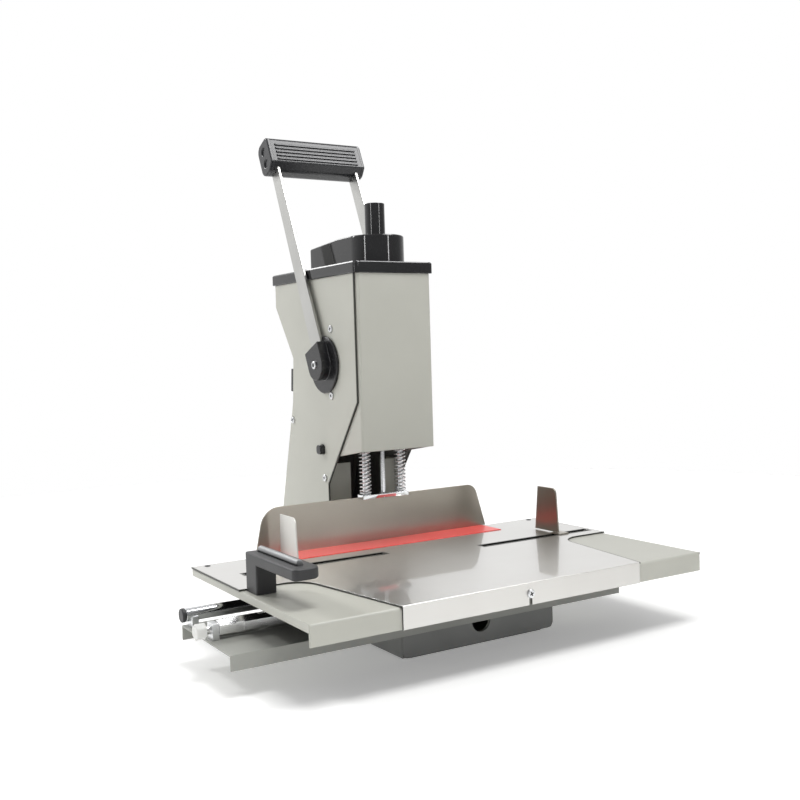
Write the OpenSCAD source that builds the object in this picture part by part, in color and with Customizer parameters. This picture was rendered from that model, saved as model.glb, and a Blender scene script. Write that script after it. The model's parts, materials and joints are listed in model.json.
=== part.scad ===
// Electric paper drill: a lever-fed drilling head on a column, over a table that slides on a guide rod.
// Millimetres, +Z up. The origin lies on the drill axis, on the face that the machine stands on.
// The operator stands on the -Y side, and +X is to the operator's right.

/* [Base] */
// Width of the base plinth
base_w = 218; // [200:2:260]
// Distance from the drill axis to the drawer's front face
base_front = 220; // [206:1:221]
// Distance from the drill axis to the base's rear face
base_rear = 225; // [224:1:260]
// Height of the base's top above the bench
base_h = 45; // [42:1:60]
// Sheet thickness of the base
base_t = 2; // [1.5:0.5:3]
// Thickness of the rubber sole
sole_t = 3; // [2:0.5:5]
// Inset of the sole from the base's edges
sole_inset = 6; // [3:1:15]

/* [Drawer] */
// Thickness of the drawer's front panel
drawer_front_t = 2.6; // [2:0.2:4]
// Length of the drawer box behind its front panel
drawer_len = 150; // [100:5:200]
// Sheet thickness of the drawer box
drawer_t = 2; // [1.5:0.5:3]
// Radius of the half-round finger notch
notch_r = 13; // [9:0.5:16]
// Radius of the drawer front's lower corners
drawer_corner = 8; // [3:1:12]

/* [Carrier] */
// Reach of the carrier tray to the left of the drill axis
carrier_left = 317; // [300:1:360]
// Reach of the carrier tray to the right of the drill axis
carrier_right = 217; // [212:1:260]
// Distance from the drill axis to the tray's front edge
carrier_front = 222; // [222:1:250]
// Distance from the drill axis to the tray's rear edge
carrier_rear = 79; // [70:1:82]
// Sheet thickness of the tray
carrier_t = 2; // [1.5:0.5:3]
// Depth of the tray's flanges
carrier_flange = 17; // [12:1:19]
// Diameter of the guide rod
rod_d = 15; // [12:0.5:18]
// Distance from the drill axis to the guide rod
rod_y = 91; // [88:1:100]
// Height of the guide rod's axis above the tray
rod_rise = 14; // [13:0.5:22]
// Thickness of the brackets on the tray
bracket_t = 8; // [6:0.5:10]
// Distance from the tray's ends to the brackets
bracket_inset = 5; // [3:1:8]

/* [Index bar] */
// Width across the flats of the hexagonal index bar
index_af = 17; // [12:0.5:18]
// Distance from the drill axis to the index bar
index_y = 155; // [140:1:170]
// Height of the index bar's axis above the tray
index_rise = 10.5; // [10.5:0.5:14]
// Radius of the bar's end journals
journal_r = 4.5; // [4:0.25:4.75]
// Width across the flats of the knob
knob_af = 16; // [14:0.5:18]
// Length of the knob
knob_len = 12; // [10:1:20]
// Depth of the pattern notches
notch_depth = 1.5; // [1:0.25:2]

/* [Table] */
// Width of the sliding table
table_w = 540; // [520:5:620]
// Distance from the drill axis to the table's front edge
table_front = 312; // [290:1:340]
// Height of the working surface above the bench
table_z = 92; // [90:1:100]
// Sheet thickness of the table
table_t = 2; // [1.5:0.5:3]
// Depth of the front and rear flanges
table_flange = 25; // [20:1:30]
// Depth of the side lips
table_lip = 11; // [8:1:18]
// Travel of the table to each side
table_travel = 120; // [60:5:120]
// Length of a bearing block along the guide rod
block_l = 30; // [20:1:36]
// Depth of a bearing block across the guide rod
block_d = 24; // [22:1:26]

/* [Top plate] */
// Thickness of the stainless top plate
top_t = 2; // [0.8:0.1:2.2]
// Distance from the drill axis to where the plate leaves the table's sides
plate_side = 139; // [125:1:141]
// Distance from the middle to where the plate's edge turns forward
plate_turn = 221; // [205:1:235]
// Radius of that turn
plate_round = 34; // [15:1:45]
// Width of the plate at the front edge
plate_front_w = 330; // [260:2:370]

/* [Fence and strip] */
// Distance from the drill axis to the fence: the margin of the holes
hole_margin = 12; // [11.5:0.5:14]
// Thickness of the fence
fence_t = 2; // [1.5:0.5:3]
// Width of the fence at the table
fence_w = 358; // [356:2:400]
// Height of the fence above the table
fence_h = 62; // [45:1:64]
// Width of the fence at its top, before the corners are rounded
fence_top_w = 330; // [300:2:354]
// Radius of the fence's top corners
fence_round = 17; // [10:1:28]
// Reach of the fence's left end beyond that of its right end
fence_left_more = 6; // [0:1:8]
// Travel of the fence
fence_travel = 10; // [5:1:12]
// Distance from the middle to each fence pin
pin_x = 110; // [90:2:130]
// Diameter of the fence pins
pin_d = 6; // [4:0.5:8]
// Length of the fence pins behind the table
pin_len = 28; // [27:1:32]
// Width of the cutting strip
strip_w = 344; // [300:2:350]
// Depth of the cutting strip in front of the drill axis
strip_front = 35; // [20:1:45]
// Thickness of the cutting strip
strip_t = 3; // [2.5:0.25:3.5]

/* [Side stops] */
// Distance from the table's left edge to the left stop
left_stop_inset = 112; // [60:1:150]
// Distance from the table's right edge to the right stop
right_stop_inset = 56; // [40:1:120]
// Distance from the drill axis to the left stop's slot
left_slot_y = 70; // [64:1:70]
// Distance from the drill axis to the right stop's slot
right_slot_y = 113; // [112:1:122]
// Inner end of the left slot
left_slot_in = 42; // [36:1:60]
// Distance from the table's left edge to the left slot
left_slot_inset = 35; // [20:1:50]
// Inner end of the right slot
right_slot_in = 82; // [80:1:110]
// Distance from the table's right edge to the right slot
right_slot_inset = 8; // [8:1:20]
// Width of the stop slots
slot_w = 10; // [5:0.5:11]
// Height of the left stop above the table
left_stop_h = 56; // [35:1:58]
// Height of the right stop above the table
right_stop_h = 62; // [35:1:64]
// Set-back of the left stop's plate from its slot
left_stop_back = 8; // [0:1:12]
// Distance the right stop's plate stands behind the slot's rear edge
right_stop_back = -3; // [-4:1:6]
// Depth of the stops
stop_d = 50; // [40:1:52]
// Thickness of the stops
stop_t = 2; // [1.5:0.5:3]

/* [Table handle] */
// Distance from the table's left edge to the handle
handle_inset = 7; // [6:1:12]
// Width of the handle
handle_w = 32; // [26:1:32]
// Distance from the drill axis to the handle's rear
handle_rear = 142; // [142:1:150]
// Length of the handle
handle_len = 125; // [100:1:140]
// Depth of the handle's leg
leg_d = 29; // [24:1:40]
// Width of the handle's leg
leg_w = 24; // [20:1:26]
// Height of the handle above the table
handle_h = 42; // [36:1:50]
// Thickness of the handle's arm
handle_arm_t = 12; // [10:1:16]
// Diameter of the release bar
release_d = 8; // [6:0.5:9]
// Length of the release bar
release_len = 100; // [70:1:105]
// Travel of the release bar
release_travel = 3; // [2:0.5:3]

/* [Column] */
// Clear width between the side panels
head_w = 112; // [108:1:130]
// Sheet thickness of the panels and covers
panel_t = 2; // [1.5:0.5:2.5]
// Distance from the drill axis to the panels' front edge at the head
panel_front = 38; // [34:1:40]
// Height where the panels' front edge turns back
panel_bend_z = 286; // [276:1:300]
// Distance behind the drill axis of the column's front edge
column_front = 50; // [47:1:54]
// Height where the column's front edge starts
column_bend_z = 172; // [165:1:180]
// Distance behind the drill axis of the head's rear
head_rear = 200; // [190:1:215]
// Height where the rear starts to run in
rear_bend_z = 420; // [400:1:430]
// Distance behind the drill axis of the waist
waist_y = 147; // [140:1:155]
// Height of the waist's upper end
waist_z = 345; // [340:1:350]
// Height of the waist's lower end
waist_low_z = 281; // [270:1:295]
// Lean of the waist, from its upper to its lower end
waist_step = 6; // [4:1:8]
// Distance behind the drill axis of the column's foot
foot_rear = 223; // [215:1:224]
// Height of the inner front wall's top edge
wall_top_z = 198; // [190:1:205]
// Distance from the middle to the inner front wall's left half
wall_gap_left = 20; // [16:1:34]
// Distance from the middle to the inner front wall's right half
wall_gap_right = 28; // [16:1:34]

/* [Head] */
// Height of the head under its cap
head_top = 453; // [448:1:470]
// Height of the front cover's lower edge
head_low = 221; // [215:1:225]
// Distance from the drill axis to the front cover's face
head_front = 46; // [44:1:50]
// Bend radius of the front cover
cover_bend = 4; // [3:0.5:8]
// Depth of the front cover's side walls behind the drill axis
cover_back = 44; // [41:1:46]
// Fall of the front cover's side walls towards the rear
cover_drop = 14; // [0:1:18]
// Height of the cap
cap_h = 15; // [12:1:20]
// Wall of the cap
cap_wall = 4; // [3:0.5:5]
// Overhang of the cap over the panels
cap_over = 2.5; // [2:0.25:3]
// Overhang of the cap over the rear cover
cap_rear = 8; // [4:1:12]
// Nose radius of the belt guard
guard_r = 38; // [36:0.5:42]
// Distance behind the drill axis of the guard's rear
guard_rear = 124; // [112:1:130]
// Height of the belt guard
guard_h = 37; // [34:1:45]
// Fall of the guard's top towards the rear
guard_drop = 6; // [0:0.5:8]
// Wall of the guard
guard_wall = 3; // [2:0.5:3.5]
// Diameter of the spindle cover
cover_d = 27; // [25:0.5:32]
// Bore of the spindle cover
cover_bore = 20; // [18:0.5:21]
// Height of the spindle cover
cover_h = 44; // [42:1:60]

/* [Lever] */
// Height of the lever's pivot
pivot_z = 335; // [330:1:340]
// Backward lean of the lever at rest
lever_lean = 24; // [15:1:28]
// Distance from the pivot to the grip's middle
lever_len = 330; // [300:2:350]
// Thickness of the arms
arm_t = 4; // [3.5:0.5:6]
// Width of the arms at the pivot
arm_w = 30; // [28:1:36]
// Width of the arms at the grip
arm_top_w = 21; // [20:1:30]
// Radius of the hubs' round plates
hub_r = 39; // [30:1:40]
// Half the width of the hubs' sockets
boss_r = 21; // [19:0.5:24]
// Height of the hubs' sockets above the pivot
boss_h = 26; // [20:1:32]
// Wall of the hubs outside the arms
boss_wall = 9; // [2.5:0.5:10]
// Radius of the lever's shaft
shaft_r = 8; // [6:0.5:9]
// Length of the grip with its end caps
grip_len = 154; // [150:2:180]
// Thickness of the grip
grip_t = 36; // [32:1:40]
// Height of the grip
grip_h = 50; // [44:1:56]
// Thickness of the grip's end caps
grip_cap_t = 5; // [4:0.5:8]
// Height of the grip's ribs
rib_h = 1.6; // [0.8:0.1:2]

/* [Feed] */
// Module of the feed pinion's teeth
tooth_m = 2; // [2:0.1:2.2]
// Number of teeth on the feed pinion
teeth = 28; // [28:1:31]
// Width of the pinion
pinion_w = 12; // [8:1:12]
// Outer radius of the quill
quill_r = 17; // [16.5:0.25:18]
// Bore radius of the quill
quill_bore_r = 13; // [12.5:0.25:13]
// Height of the quill's lower end
quill_low = 236; // [232:1:238]
// Length of the quill
quill_len = 194; // [188:1:198]
// Wall of the quill's housing
housing_wall = 9; // [6:0.5:9]
// Height of the housing's lower end
housing_low = 318; // [314:1:322]
// Width of the rack
rack_w = 14; // [12:1:16]
// Thickness of the crosshead
crosshead_t = 16; // [12:1:16]
// Width of the crosshead
crosshead_w = 76; // [74:1:90]

/* [Presser] */
// Height of the presser foot's underside at rest
presser_z = 153; // [150:1:156]
// Thickness of the presser foot
presser_t = 6; // [6:0.5:10]
// Width of the presser foot
presser_w = 72; // [72:1:90]
// Depth of the presser foot
presser_d = 18; // [18:1:21]
// Distance from the middle to each presser rod
presser_x = 27.5; // [26.5:0.5:30]
// Radius of the presser rods
presser_rod_r = 4; // [3:0.25:4.5]
// Travel of the presser foot
presser_travel = 48; // [40:1:50]
// Turns of each spring
spring_turns = 13; // [9:1:14]
// Mean radius of the springs
spring_r = 7.2; // [6.6:0.2:7.6]
// Wire diameter of the springs
wire_d = 1.8; // [1.4:0.1:2]

/* [Spindle] */
// Radius of the spindle in its bearings
spindle_r = 8; // [7.5:0.25:9]
// Width across the flats of the spindle's driven end
spindle_af = 13; // [11:0.5:13]
// Bore radius of the spindle
chip_r = 3.5; // [2.5:0.25:4]
// Outer radius of the hollow drill
drill_r = 3.15; // [2:0.05:3.9]
// Wall of the hollow drill
drill_wall = 0.9; // [0.6:0.1:1.2]
// Radius of the drill's shank
shank_r = 4.5; // [4.25:0.25:5]
// Length of the drill's shank
shank_len = 12; // [8:1:13]
// Radius of the spindle's nose
nose_r = 12; // [10:0.5:15]

/* [Drive] */
// Radius of the motor
motor_r = 33; // [28:1:34]
// Length of the motor
motor_len = 60; // [50:1:62]
// Distance from the drill axis to the motor's shaft
motor_y = 88; // [86:1:89]
// Radius of the motor's shaft
motor_shaft_r = 5; // [4:0.25:6]
// Radius of the motor's pulley
motor_pulley_r = 15; // [12:0.5:16]
// Radius of the spindle's pulley
spindle_pulley_r = 24; // [22:0.5:26]
// Thickness of the belt
belt_t = 3; // [2:0.25:3.5]
// Width of the belt
belt_w = 14; // [10:1:15]
// Thickness of the plate inside the head
plate_t = 5; // [4:0.5:6]

/* [Electrics] */
// Width of the power inlet
inlet_w = 20; // [20:0.5:22]
// Height of the power inlet
inlet_h = 27; // [27:0.5:28]
// Width of the push button
button_w = 13; // [10:0.5:14]
// Travel of the push button
button_travel = 3; // [2:0.5:4]

/* [Fits] */
// Radial clearance of shafts and rods that run in holes
run_fit = 0.05; // [0.02:0.01:0.1]
// Gap between faces that slide past each other
slide_gap = 0.3; // [0.2:0.05:0.5]

/* [Hidden] */
$fn = 64;

// Colours
paint_grey = [0.77, 0.77, 0.74];
paint_dark = [0.33, 0.33, 0.32];
plastic_black = [0.12, 0.12, 0.13];
steel = [0.72, 0.72, 0.70];
bright_steel = [0.85, 0.85, 0.86];
strip_red = [0.93, 0.33, 0.32];
knob_white = [0.93, 0.93, 0.90];

// Levels of the base, the carrier and the table
plinth_front = base_front - drawer_front_t - slide_gap;
plinth_floor = sole_t + base_t;
carrier_top = base_h + carrier_t;
carrier_low = carrier_top - carrier_flange;
drawer_top = carrier_low - 2 * slide_gap;
drawer_low = plinth_floor + slide_gap;
rod_z = carrier_top + rod_rise;
index_z = carrier_top + index_rise;
index_corner = index_af / 2 / cos(30);
knob_in = -carrier_left - slide_gap;
sheet_top = table_z - top_t;
sheet_low = sheet_top - table_t;
flange_low = table_z - table_flange;
table_rear = hole_margin - slide_gap;
strip_top = sheet_top + strip_t;

// Places of the brackets, the bearing blocks and the pawl along the carrier
left_bracket = -carrier_left + bracket_inset;
right_bracket = carrier_right - bracket_inset - bracket_t;
block_spare = 4;
left_block = left_bracket + bracket_t + table_travel + block_l / 2 + block_spare;
right_block = right_bracket - table_travel - block_l / 2 - block_spare;
block_wall = 4;
glide_inset = 8;
glide_d = 14;
pawl_r = 4;
pawl_x = left_bracket + bracket_t + table_travel + pawl_r + 2 * block_spare;
pawl_low = index_z + index_corner + slide_gap;
pawl_lift = release_travel;
pawl_boss_r = pawl_r + 5;
pawl_boss_low = sheet_low - 13;
hole_patterns = [[-40, 40], [-108, 0, 108], [-80, 0, 80]];

// Levels and places of the head
panel_in = head_w / 2;
panel_out = panel_in + panel_t;
cover_out = panel_in - 0.25;
cap_top = head_top + cap_h;
guard_top = cap_top + guard_h;
head_plate_top = head_top - 2;
head_plate_low = head_plate_top - plate_t;
screw_r = 2;
screw_head_r = 5;
screw_head_h = 2;
front_screws = [[27, 383], [30, 293]];
wall_screw = [column_front + 8, wall_top_z - 19];
rear_flange_w = 14;
rear_screw_z = 255;
rear_screw = [rear_y(rear_screw_z) - rear_flange_w / 2, rear_screw_z];
all_screws = concat(front_screws, [wall_screw, rear_screw]);
wall_y = column_front + 4;
wall_flange = 28;
button_at = [63, 218];
button_out = 7;
button_round = 4;

// Feed: the pinion turns by the stroke over its pitch radius
pitch_r = tooth_m * teeth / 2;
tooth_pitch = PI * tooth_m;
tooth_share = 0.42;
pressure = 20;
rack_line = quill_r;
rack_back = rack_line - 5;
pivot_y = rack_line + pitch_r;
feed_stop = 0.5;
stroke = presser_z - strip_top - feed_stop;
rack_below = 15;
rack_above = 17;
rack_low = pivot_z - rack_below;
rack_high = pivot_z + stroke + rack_above;
quill_top = quill_low + quill_len;
crosshead_low = quill_low + 4;
crosshead_top = crosshead_low + crosshead_t;
crosshead_d = 44;
presser_top = presser_z + presser_t;
rod_seat = presser_z + 2;
collar_r = presser_rod_r + 2.5;
collar_t = 5;
bearing_w = 12;
nose_top = quill_low - 0.5;
nose_low = head_low + 1;
spindle_top = guard_top + cover_h - 13;
hex_low = quill_top + 2;
pulley_low = cap_top + 4;
pulley_w = belt_w + 4;
pulley_flange = 2;
pulley_hub_r = 15;
bearing_ring_r = 22;
bush_r = shaft_r + 4;
bush_flange_r = shaft_r + 8;
bush_flange_t = 2;
spring_case_r = bush_flange_r + 6;

// Lever: places across the machine
hub_in = panel_out + 0.4;
arm_in = panel_out + 4;
arm_out = arm_in + arm_t;
boss_out = arm_out + boss_wall;
shaft_end = arm_out + 1;
hub_screw_r = 3;
hub_screw_head_r = 5.5;
hub_screw_head_h = 2.5;
hub_screw_depth = 12;
grip_side = grip_len / 2 - grip_cap_t;
grip_r = grip_t / 3;
grip_front_r = grip_t / 5;
grip_lip_r = grip_t / 12;
grip_lip = [grip_lip_r - grip_t / 2, -grip_h * 0.3];
grip_foot = [-grip_t / 18, grip_r - grip_h / 2];
grip_slope = 360 + atan2(grip_foot.y - grip_lip.y, grip_foot.x - grip_lip.x)
    - acos((grip_lip_r - grip_r) / norm(grip_foot - grip_lip));
arm_top = lever_len + 6;

// Handle at the table's left
handle_x = -table_w / 2 + handle_inset;
handle_top = table_z + handle_h;
handle_arm_low = handle_top - handle_arm_t;
handle_front = handle_rear + handle_len;
release_x = handle_x + handle_w / 2;
release_rear = handle_rear + 6;
release_z = handle_top + 2;

// Fence and stops
fence_top = table_z + fence_h;
pin_z = sheet_low - 11;
skirt_w = 300;
rear_flange_half = skirt_w / 2 + 10;
left_stop_x = table_w / 2 - left_stop_inset;
right_stop_x = table_w / 2 - right_stop_inset;
left_slot_out = table_w / 2 - left_slot_inset;
right_slot_out = table_w / 2 - right_slot_inset;
pin_nut_r = pin_d / 2 + 3;
pin_nut_t = 6;
stop_foot_w = 18;
stop_neck_w = 14;
stop_nut_w = 20;
stop_nut_d = 16;
stop_nut_t = 6;

// Points on an arc from angle a0 to angle a1
function arc_points(centre, r, a0, a1, n) =
    [for (i = [0:n]) let (a = a0 + (a1 - a0) * i / n) centre + r * [cos(a), sin(a)]];
// Angle on a circle where a line from an outside point touches it
function touch_angle(p, centre, r, side) =
    let (v = p - centre) atan2(v.y, v.x) + side * acos(r / norm(v));
function reversed(list) = [for (i = [len(list) - 1:-1:0]) list[i]];
function mirrored(list) = [for (p = reversed(list)) [-p.x, p.y]];
// Outline of a rectangle with round corners
function round_box(x0, x1, y0, y1, r) = concat(
    arc_points([x1 - r, y0 + r], r, -90, 0, 6), arc_points([x1 - r, y1 - r], r, 0, 90, 6),
    arc_points([x0 + r, y1 - r], r, 90, 180, 6), arc_points([x0 + r, y0 + r], r, 180, 270, 6));
// Outline with straight sides and round ends, standing upright
// Section of the grip: a flat front with a lip below it, and a round back
grip_section = concat(
    arc_points([grip_t / 2 - grip_r, grip_h / 2 - grip_r], grip_r, 0, 90, 12),
    arc_points([grip_front_r - grip_t / 2, grip_h / 2 - grip_front_r], grip_front_r, 90, 180, 8),
    arc_points(grip_lip, grip_lip_r, 180, grip_slope, 4),
    arc_points(grip_foot, grip_r, grip_slope, 270, 8),
    arc_points([grip_t / 2 - grip_r, grip_r - grip_h / 2], grip_r, 270, 360, 12));

// Outlines extruded along one axis
module along_x(x0, x1) { translate([x0, 0, 0]) rotate([90, 0, 90]) linear_extrude(x1 - x0) children(); }
module along_y(y0, y1) { translate([0, y1, 0]) rotate([90, 0, 0]) linear_extrude(y1 - y0) children(); }
module along_z(z0, z1) { translate([0, 0, z0]) linear_extrude(z1 - z0) children(); }
module box(x, y, z) { translate([x[0], y[0], z[0]]) cube([x[1] - x[0], y[1] - y[0], z[1] - z[0]]); }
module bar_x(x0, x1, y, z, r) { translate([x0, y, z]) rotate([0, 90, 0]) cylinder(r = r, h = x1 - x0); }
module bar_y(y0, y1, x, z, r) { translate([x, y0, z]) rotate([-90, 0, 0]) cylinder(r = r, h = y1 - y0); }
module bar_z(z0, z1, x, y, r) { translate([x, y, z0]) cylinder(r = r, h = z1 - z0); }
module both_sides() { children(); mirror([1, 0, 0]) children(); }

// Base: a box open at the front, where the drawer runs, on a rubber sole
module rubber_sole() {
    color(plastic_black)
        along_z(0, sole_t) polygon(round_box(sole_inset - base_w / 2, base_w / 2 - sole_inset,
            sole_inset - plinth_front, base_rear - sole_inset, 10));
}

module base_plinth() {
    color(paint_dark) difference() {
        box([-base_w / 2, base_w / 2], [-plinth_front, base_rear], [sole_t, base_h]);
        box([base_t - base_w / 2, base_w / 2 - base_t], [base_t - plinth_front, base_rear - base_t],
            [plinth_floor, base_h - base_t]);
        box([base_t - base_w / 2, base_w / 2 - base_t], [-plinth_front - 1, 0],
            [plinth_floor, drawer_top + slide_gap]);
    }
}

module notch_cut(y0, y1) { bar_y(y0, y1, 0, drawer_top, notch_r); }

module drawer_front() {
    front_low = sole_t + 2 * slide_gap;
    half = base_w / 2;
    outline = concat([[half, drawer_top], [-half, drawer_top]],
        arc_points([drawer_corner - half, front_low + drawer_corner], drawer_corner, 180, 270, 6),
        arc_points([half - drawer_corner, front_low + drawer_corner], drawer_corner, 270, 360, 6));
    color(paint_dark) difference() {
        along_y(-base_front, drawer_front_t - base_front) polygon(outline);
        notch_cut(-base_front - 1, drawer_front_t - base_front + 1);
    }
}

module drawer_box() {
    half = base_w / 2 - base_t - slide_gap;
    y0 = drawer_front_t - base_front;
    box_top = drawer_top - 2;
    color(paint_grey) difference() {
        box([-half, half], [y0, y0 + drawer_len], [drawer_low, box_top]);
        box([drawer_t - half, half - drawer_t], [y0 + drawer_t, y0 + drawer_len - drawer_t],
            [drawer_low + drawer_t, box_top + 1]);
        notch_cut(y0 - 1, y0 + drawer_t + 1);
    }
}

// Carrier: a folded tray across the base, with the guide rod and the index bar on it
module carrier_tray() {
    rear_cut = base_w / 2 + 2;
    color(paint_grey) {
        difference() {
            union() {
                box([-carrier_left, carrier_right], [-carrier_front - carrier_t, -carrier_rear],
                    [base_h, carrier_top]);
                box([-carrier_left, carrier_right], [-carrier_front - carrier_t, -carrier_front],
                    [carrier_low, carrier_top]);
                box([-carrier_left, carrier_right], [-carrier_rear - carrier_t, -carrier_rear],
                    [carrier_low, carrier_top]);
            }
            box([-rear_cut, rear_cut], [-carrier_rear - carrier_t - 1, -carrier_rear + 1],
                [carrier_low - 1, base_h]);
        }
    }
}

module guide_rod() { color(bright_steel) bar_x(-carrier_left, carrier_right, -rod_y, rod_z, rod_d / 2); }

module rod_caps() {
    color(plastic_black) {
        bar_x(-carrier_left - 5, -carrier_left, -rod_y, rod_z, rod_d / 2 + 0.5);
        bar_x(carrier_right, carrier_right + 5, -rod_y, rod_z, rod_d / 2 + 0.5);
    }
}

module carrier_brackets() {
    color(steel) for (x = [left_bracket, right_bracket]) {
        difference() {
            box([x, x + bracket_t], [-rod_y - 9, -rod_y + 9], [carrier_top, rod_z - 1]);
            bar_x(x - 1, x + bracket_t + 1, -rod_y, rod_z, rod_d / 2 + run_fit);
        }
        difference() {
            box([x, x + bracket_t], [-index_y - 8, -index_y + 8], [carrier_top, index_z + journal_r + 3]);
            bar_x(x - 1, x + bracket_t + 1, -index_y, index_z, journal_r + run_fit);
        }
    }
}

// Index bar: a hexagon with one hole pattern on each pair of opposite flats
module index_bar() {
    x0 = left_bracket + bracket_t + slide_gap;
    x1 = right_bracket - slide_gap;
    notch_w = 2 * pawl_r + 1;
    color(bright_steel) difference() {
        union() {
            translate([x0, -index_y, index_z]) rotate([0, 90, 0])
                cylinder(r = index_corner, h = x1 - x0, $fn = 6);
            bar_x(knob_in, x0, -index_y, index_z, journal_r);
            bar_x(x1, right_bracket + bracket_t, -index_y, index_z, journal_r);
        }
        for (k = [0:5], p = hole_patterns[k % 3])
            translate([pawl_x + p, -index_y, index_z]) rotate([30 + 60 * k, 0, 0])
                translate([-notch_w / 2, -index_corner, index_af / 2 - notch_depth])
                    cube([notch_w, 2 * index_corner, index_af]);
    }
}

module index_knob() {
    color(knob_white)
        translate([knob_in - knob_len, -index_y, index_z]) rotate([0, 90, 0])
            cylinder(r = knob_af / 2 / cos(30), h = knob_len, $fn = 6);
}

// Column: side panels that share one outline with the rear cover
rear_line = [[head_rear, head_top], [head_rear, rear_bend_z], [waist_y, waist_z],
    [waist_y + waist_step, waist_low_z], [foot_rear, base_h]];
panel_outline = concat([[column_front, base_h], [column_front, column_bend_z], [-panel_front, panel_bend_z],
    [-panel_front, head_top]], rear_line);
// Rear edge at a height below the waist
function rear_y(z) = let (t = (waist_low_z - z) / (waist_low_z - base_h))
    waist_y + waist_step + t * (foot_rear - waist_y - waist_step);

module side_panel() {
    foot_w = 22;
    difference() {
        union() {
            along_x(panel_in, panel_out) polygon(panel_outline);
            box([panel_in - foot_w, panel_in], [wall_y + wall_flange + 4, foot_rear - rear_flange_w - 12],
                [base_h, base_h + panel_t]);
        }
        bar_x(panel_in - 1, panel_out + 1, pivot_y, pivot_z, bush_r);
        for (s = all_screws) bar_x(panel_in - 1, panel_out + 1, s[0], s[1], screw_r + run_fit);
    }
}

module right_side_panel() { color(paint_grey) side_panel(); }

module left_side_panel() {
    hole = button_w / 2 + slide_gap;
    color(paint_grey) difference() {
        mirror([1, 0, 0]) side_panel();
        along_x(-panel_out - 1, 1 - panel_in)
            translate(button_at) polygon(round_box(-hole, hole, -hole, hole, button_round + slide_gap));
    }
}

module head_front_cover() {
    r = cover_bend;
    inner = cover_out - panel_t;
    low = head_low - cover_drop;
    outside = concat([[-cover_out, cover_back]], arc_points([r - cover_out, r - head_front], r, 180, 270, 6),
        arc_points([cover_out - r, r - head_front], r, 270, 360, 6), [[cover_out, cover_back]]);
    inside = concat([[inner, cover_back]],
        arc_points([cover_out - r, r - head_front], r - panel_t, 360, 270, 6),
        arc_points([r - cover_out, r - head_front], r - panel_t, 270, 180, 6), [[-inner, cover_back]]);
    color(paint_grey) difference() {
        along_z(low, head_top) polygon(concat(outside, inside));
        along_x(-panel_in, panel_in) polygon([[-head_front - 1, head_low], [-head_front - 1, low - 1],
            [cover_back + 1, low - 1], [cover_back + 1, low], [r - head_front, head_low]]);
        bar_x(-panel_in, panel_in, pivot_y, pivot_z, spring_case_r + 1);
        for (s = front_screws) bar_x(-panel_in, panel_in, s[0], s[1], screw_r + run_fit);
    }
}

// Strip of a given width along the inside of the rear line
module rear_band(width) { polygon(concat(rear_line, reversed([for (p = rear_line) p - [width, 0]]))); }

// The inlet stands square to the waist
waist_lean = atan2(waist_step, waist_z - waist_low_z);
inlet_x = panel_t + 1 + inlet_w / 2 - panel_in;
inlet_z = (waist_z + waist_low_z) / 2 - 1;
inlet_y = waist_y + waist_step * (waist_z - inlet_z) / (waist_z - waist_low_z);
module at_inlet() { translate([inlet_x, inlet_y, inlet_z]) rotate([waist_lean, 0, 0]) children(); }

module rear_cover() {
    color(paint_grey) difference() {
        union() {
            along_x(-panel_in, panel_in) rear_band(panel_t);
            both_sides() along_x(panel_in - panel_t, panel_in) rear_band(rear_flange_w);
        }
        bar_x(-panel_in - 1, panel_in + 1, rear_screw[0], rear_screw[1], screw_r + run_fit);
        at_inlet() cube([inlet_w + 0.4, 4 * panel_t, inlet_h + 0.4], center = true);
    }
}

module column_front_panel() {
    color(paint_dark) difference() {
        union() {
            box([-panel_in, -wall_gap_left], [wall_y, wall_y + panel_t], [base_h, wall_top_z]);
            box([wall_gap_right, panel_in], [wall_y, wall_y + panel_t], [base_h, wall_top_z]);
            both_sides()
                box([panel_in - panel_t, panel_in], [wall_y, wall_y + wall_flange], [base_h, wall_top_z]);
        }
        bar_x(-panel_in - 1, panel_in + 1, wall_screw[0], wall_screw[1], screw_r + run_fit);
    }
}

module panel_screws() {
    color(steel) both_sides() for (s = all_screws) {
        bar_x(panel_in - 4, panel_out, s[0], s[1], screw_r);
        bar_x(panel_out, panel_out + screw_head_h, s[0], s[1], screw_head_r);
    }
}

// Head: a plate carries the motor, the belt drive and the quill's housing
module head_plate() {
    narrow = cover_out - panel_t - run_fit;
    color(steel) difference() {
        union() {
            box([-narrow, narrow], [cover_bend - head_front + slide_gap, cover_back + 1],
                [head_plate_low, head_plate_top]);
            box([-panel_in, panel_in], [cover_back + 0.5, head_rear - rear_flange_w - slide_gap],
                [head_plate_low, head_plate_top]);
        }
        bar_z(head_plate_low - 1, head_plate_top + 1, 0, 0, spindle_r + 3);
        bar_z(head_plate_low - 1, head_plate_top + 1, 0, motor_y, motor_shaft_r + 2);
    }
}

module quill_housing() {
    color(steel) difference() {
        bar_z(housing_low, head_plate_low, 0, 0, quill_r + housing_wall);
        bar_z(housing_low - 1, head_plate_low + 1, 0, 0, quill_r + run_fit);
        box([-rack_w / 2 - 1, rack_w / 2 + 1], [rack_back - 1, quill_r + housing_wall + 1],
            [housing_low - 1, head_plate_low - 8]);
    }
}

module top_cap() {
    out = panel_out + cap_over;
    color(plastic_black) difference() {
        along_z(head_top, cap_top) polygon(round_box(-out, out, -head_front - 2, head_rear + cap_rear, 6));
        along_z(head_top - 1, cap_top - 3) polygon(round_box(cap_wall - out, out - cap_wall,
            cap_wall - head_front - 2, head_rear + cap_rear - cap_wall, 3));
        along_z(head_top, cap_top + 1) polygon(guard_plan(guard_r - guard_wall, guard_rear - guard_wall));
    }
}

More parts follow.
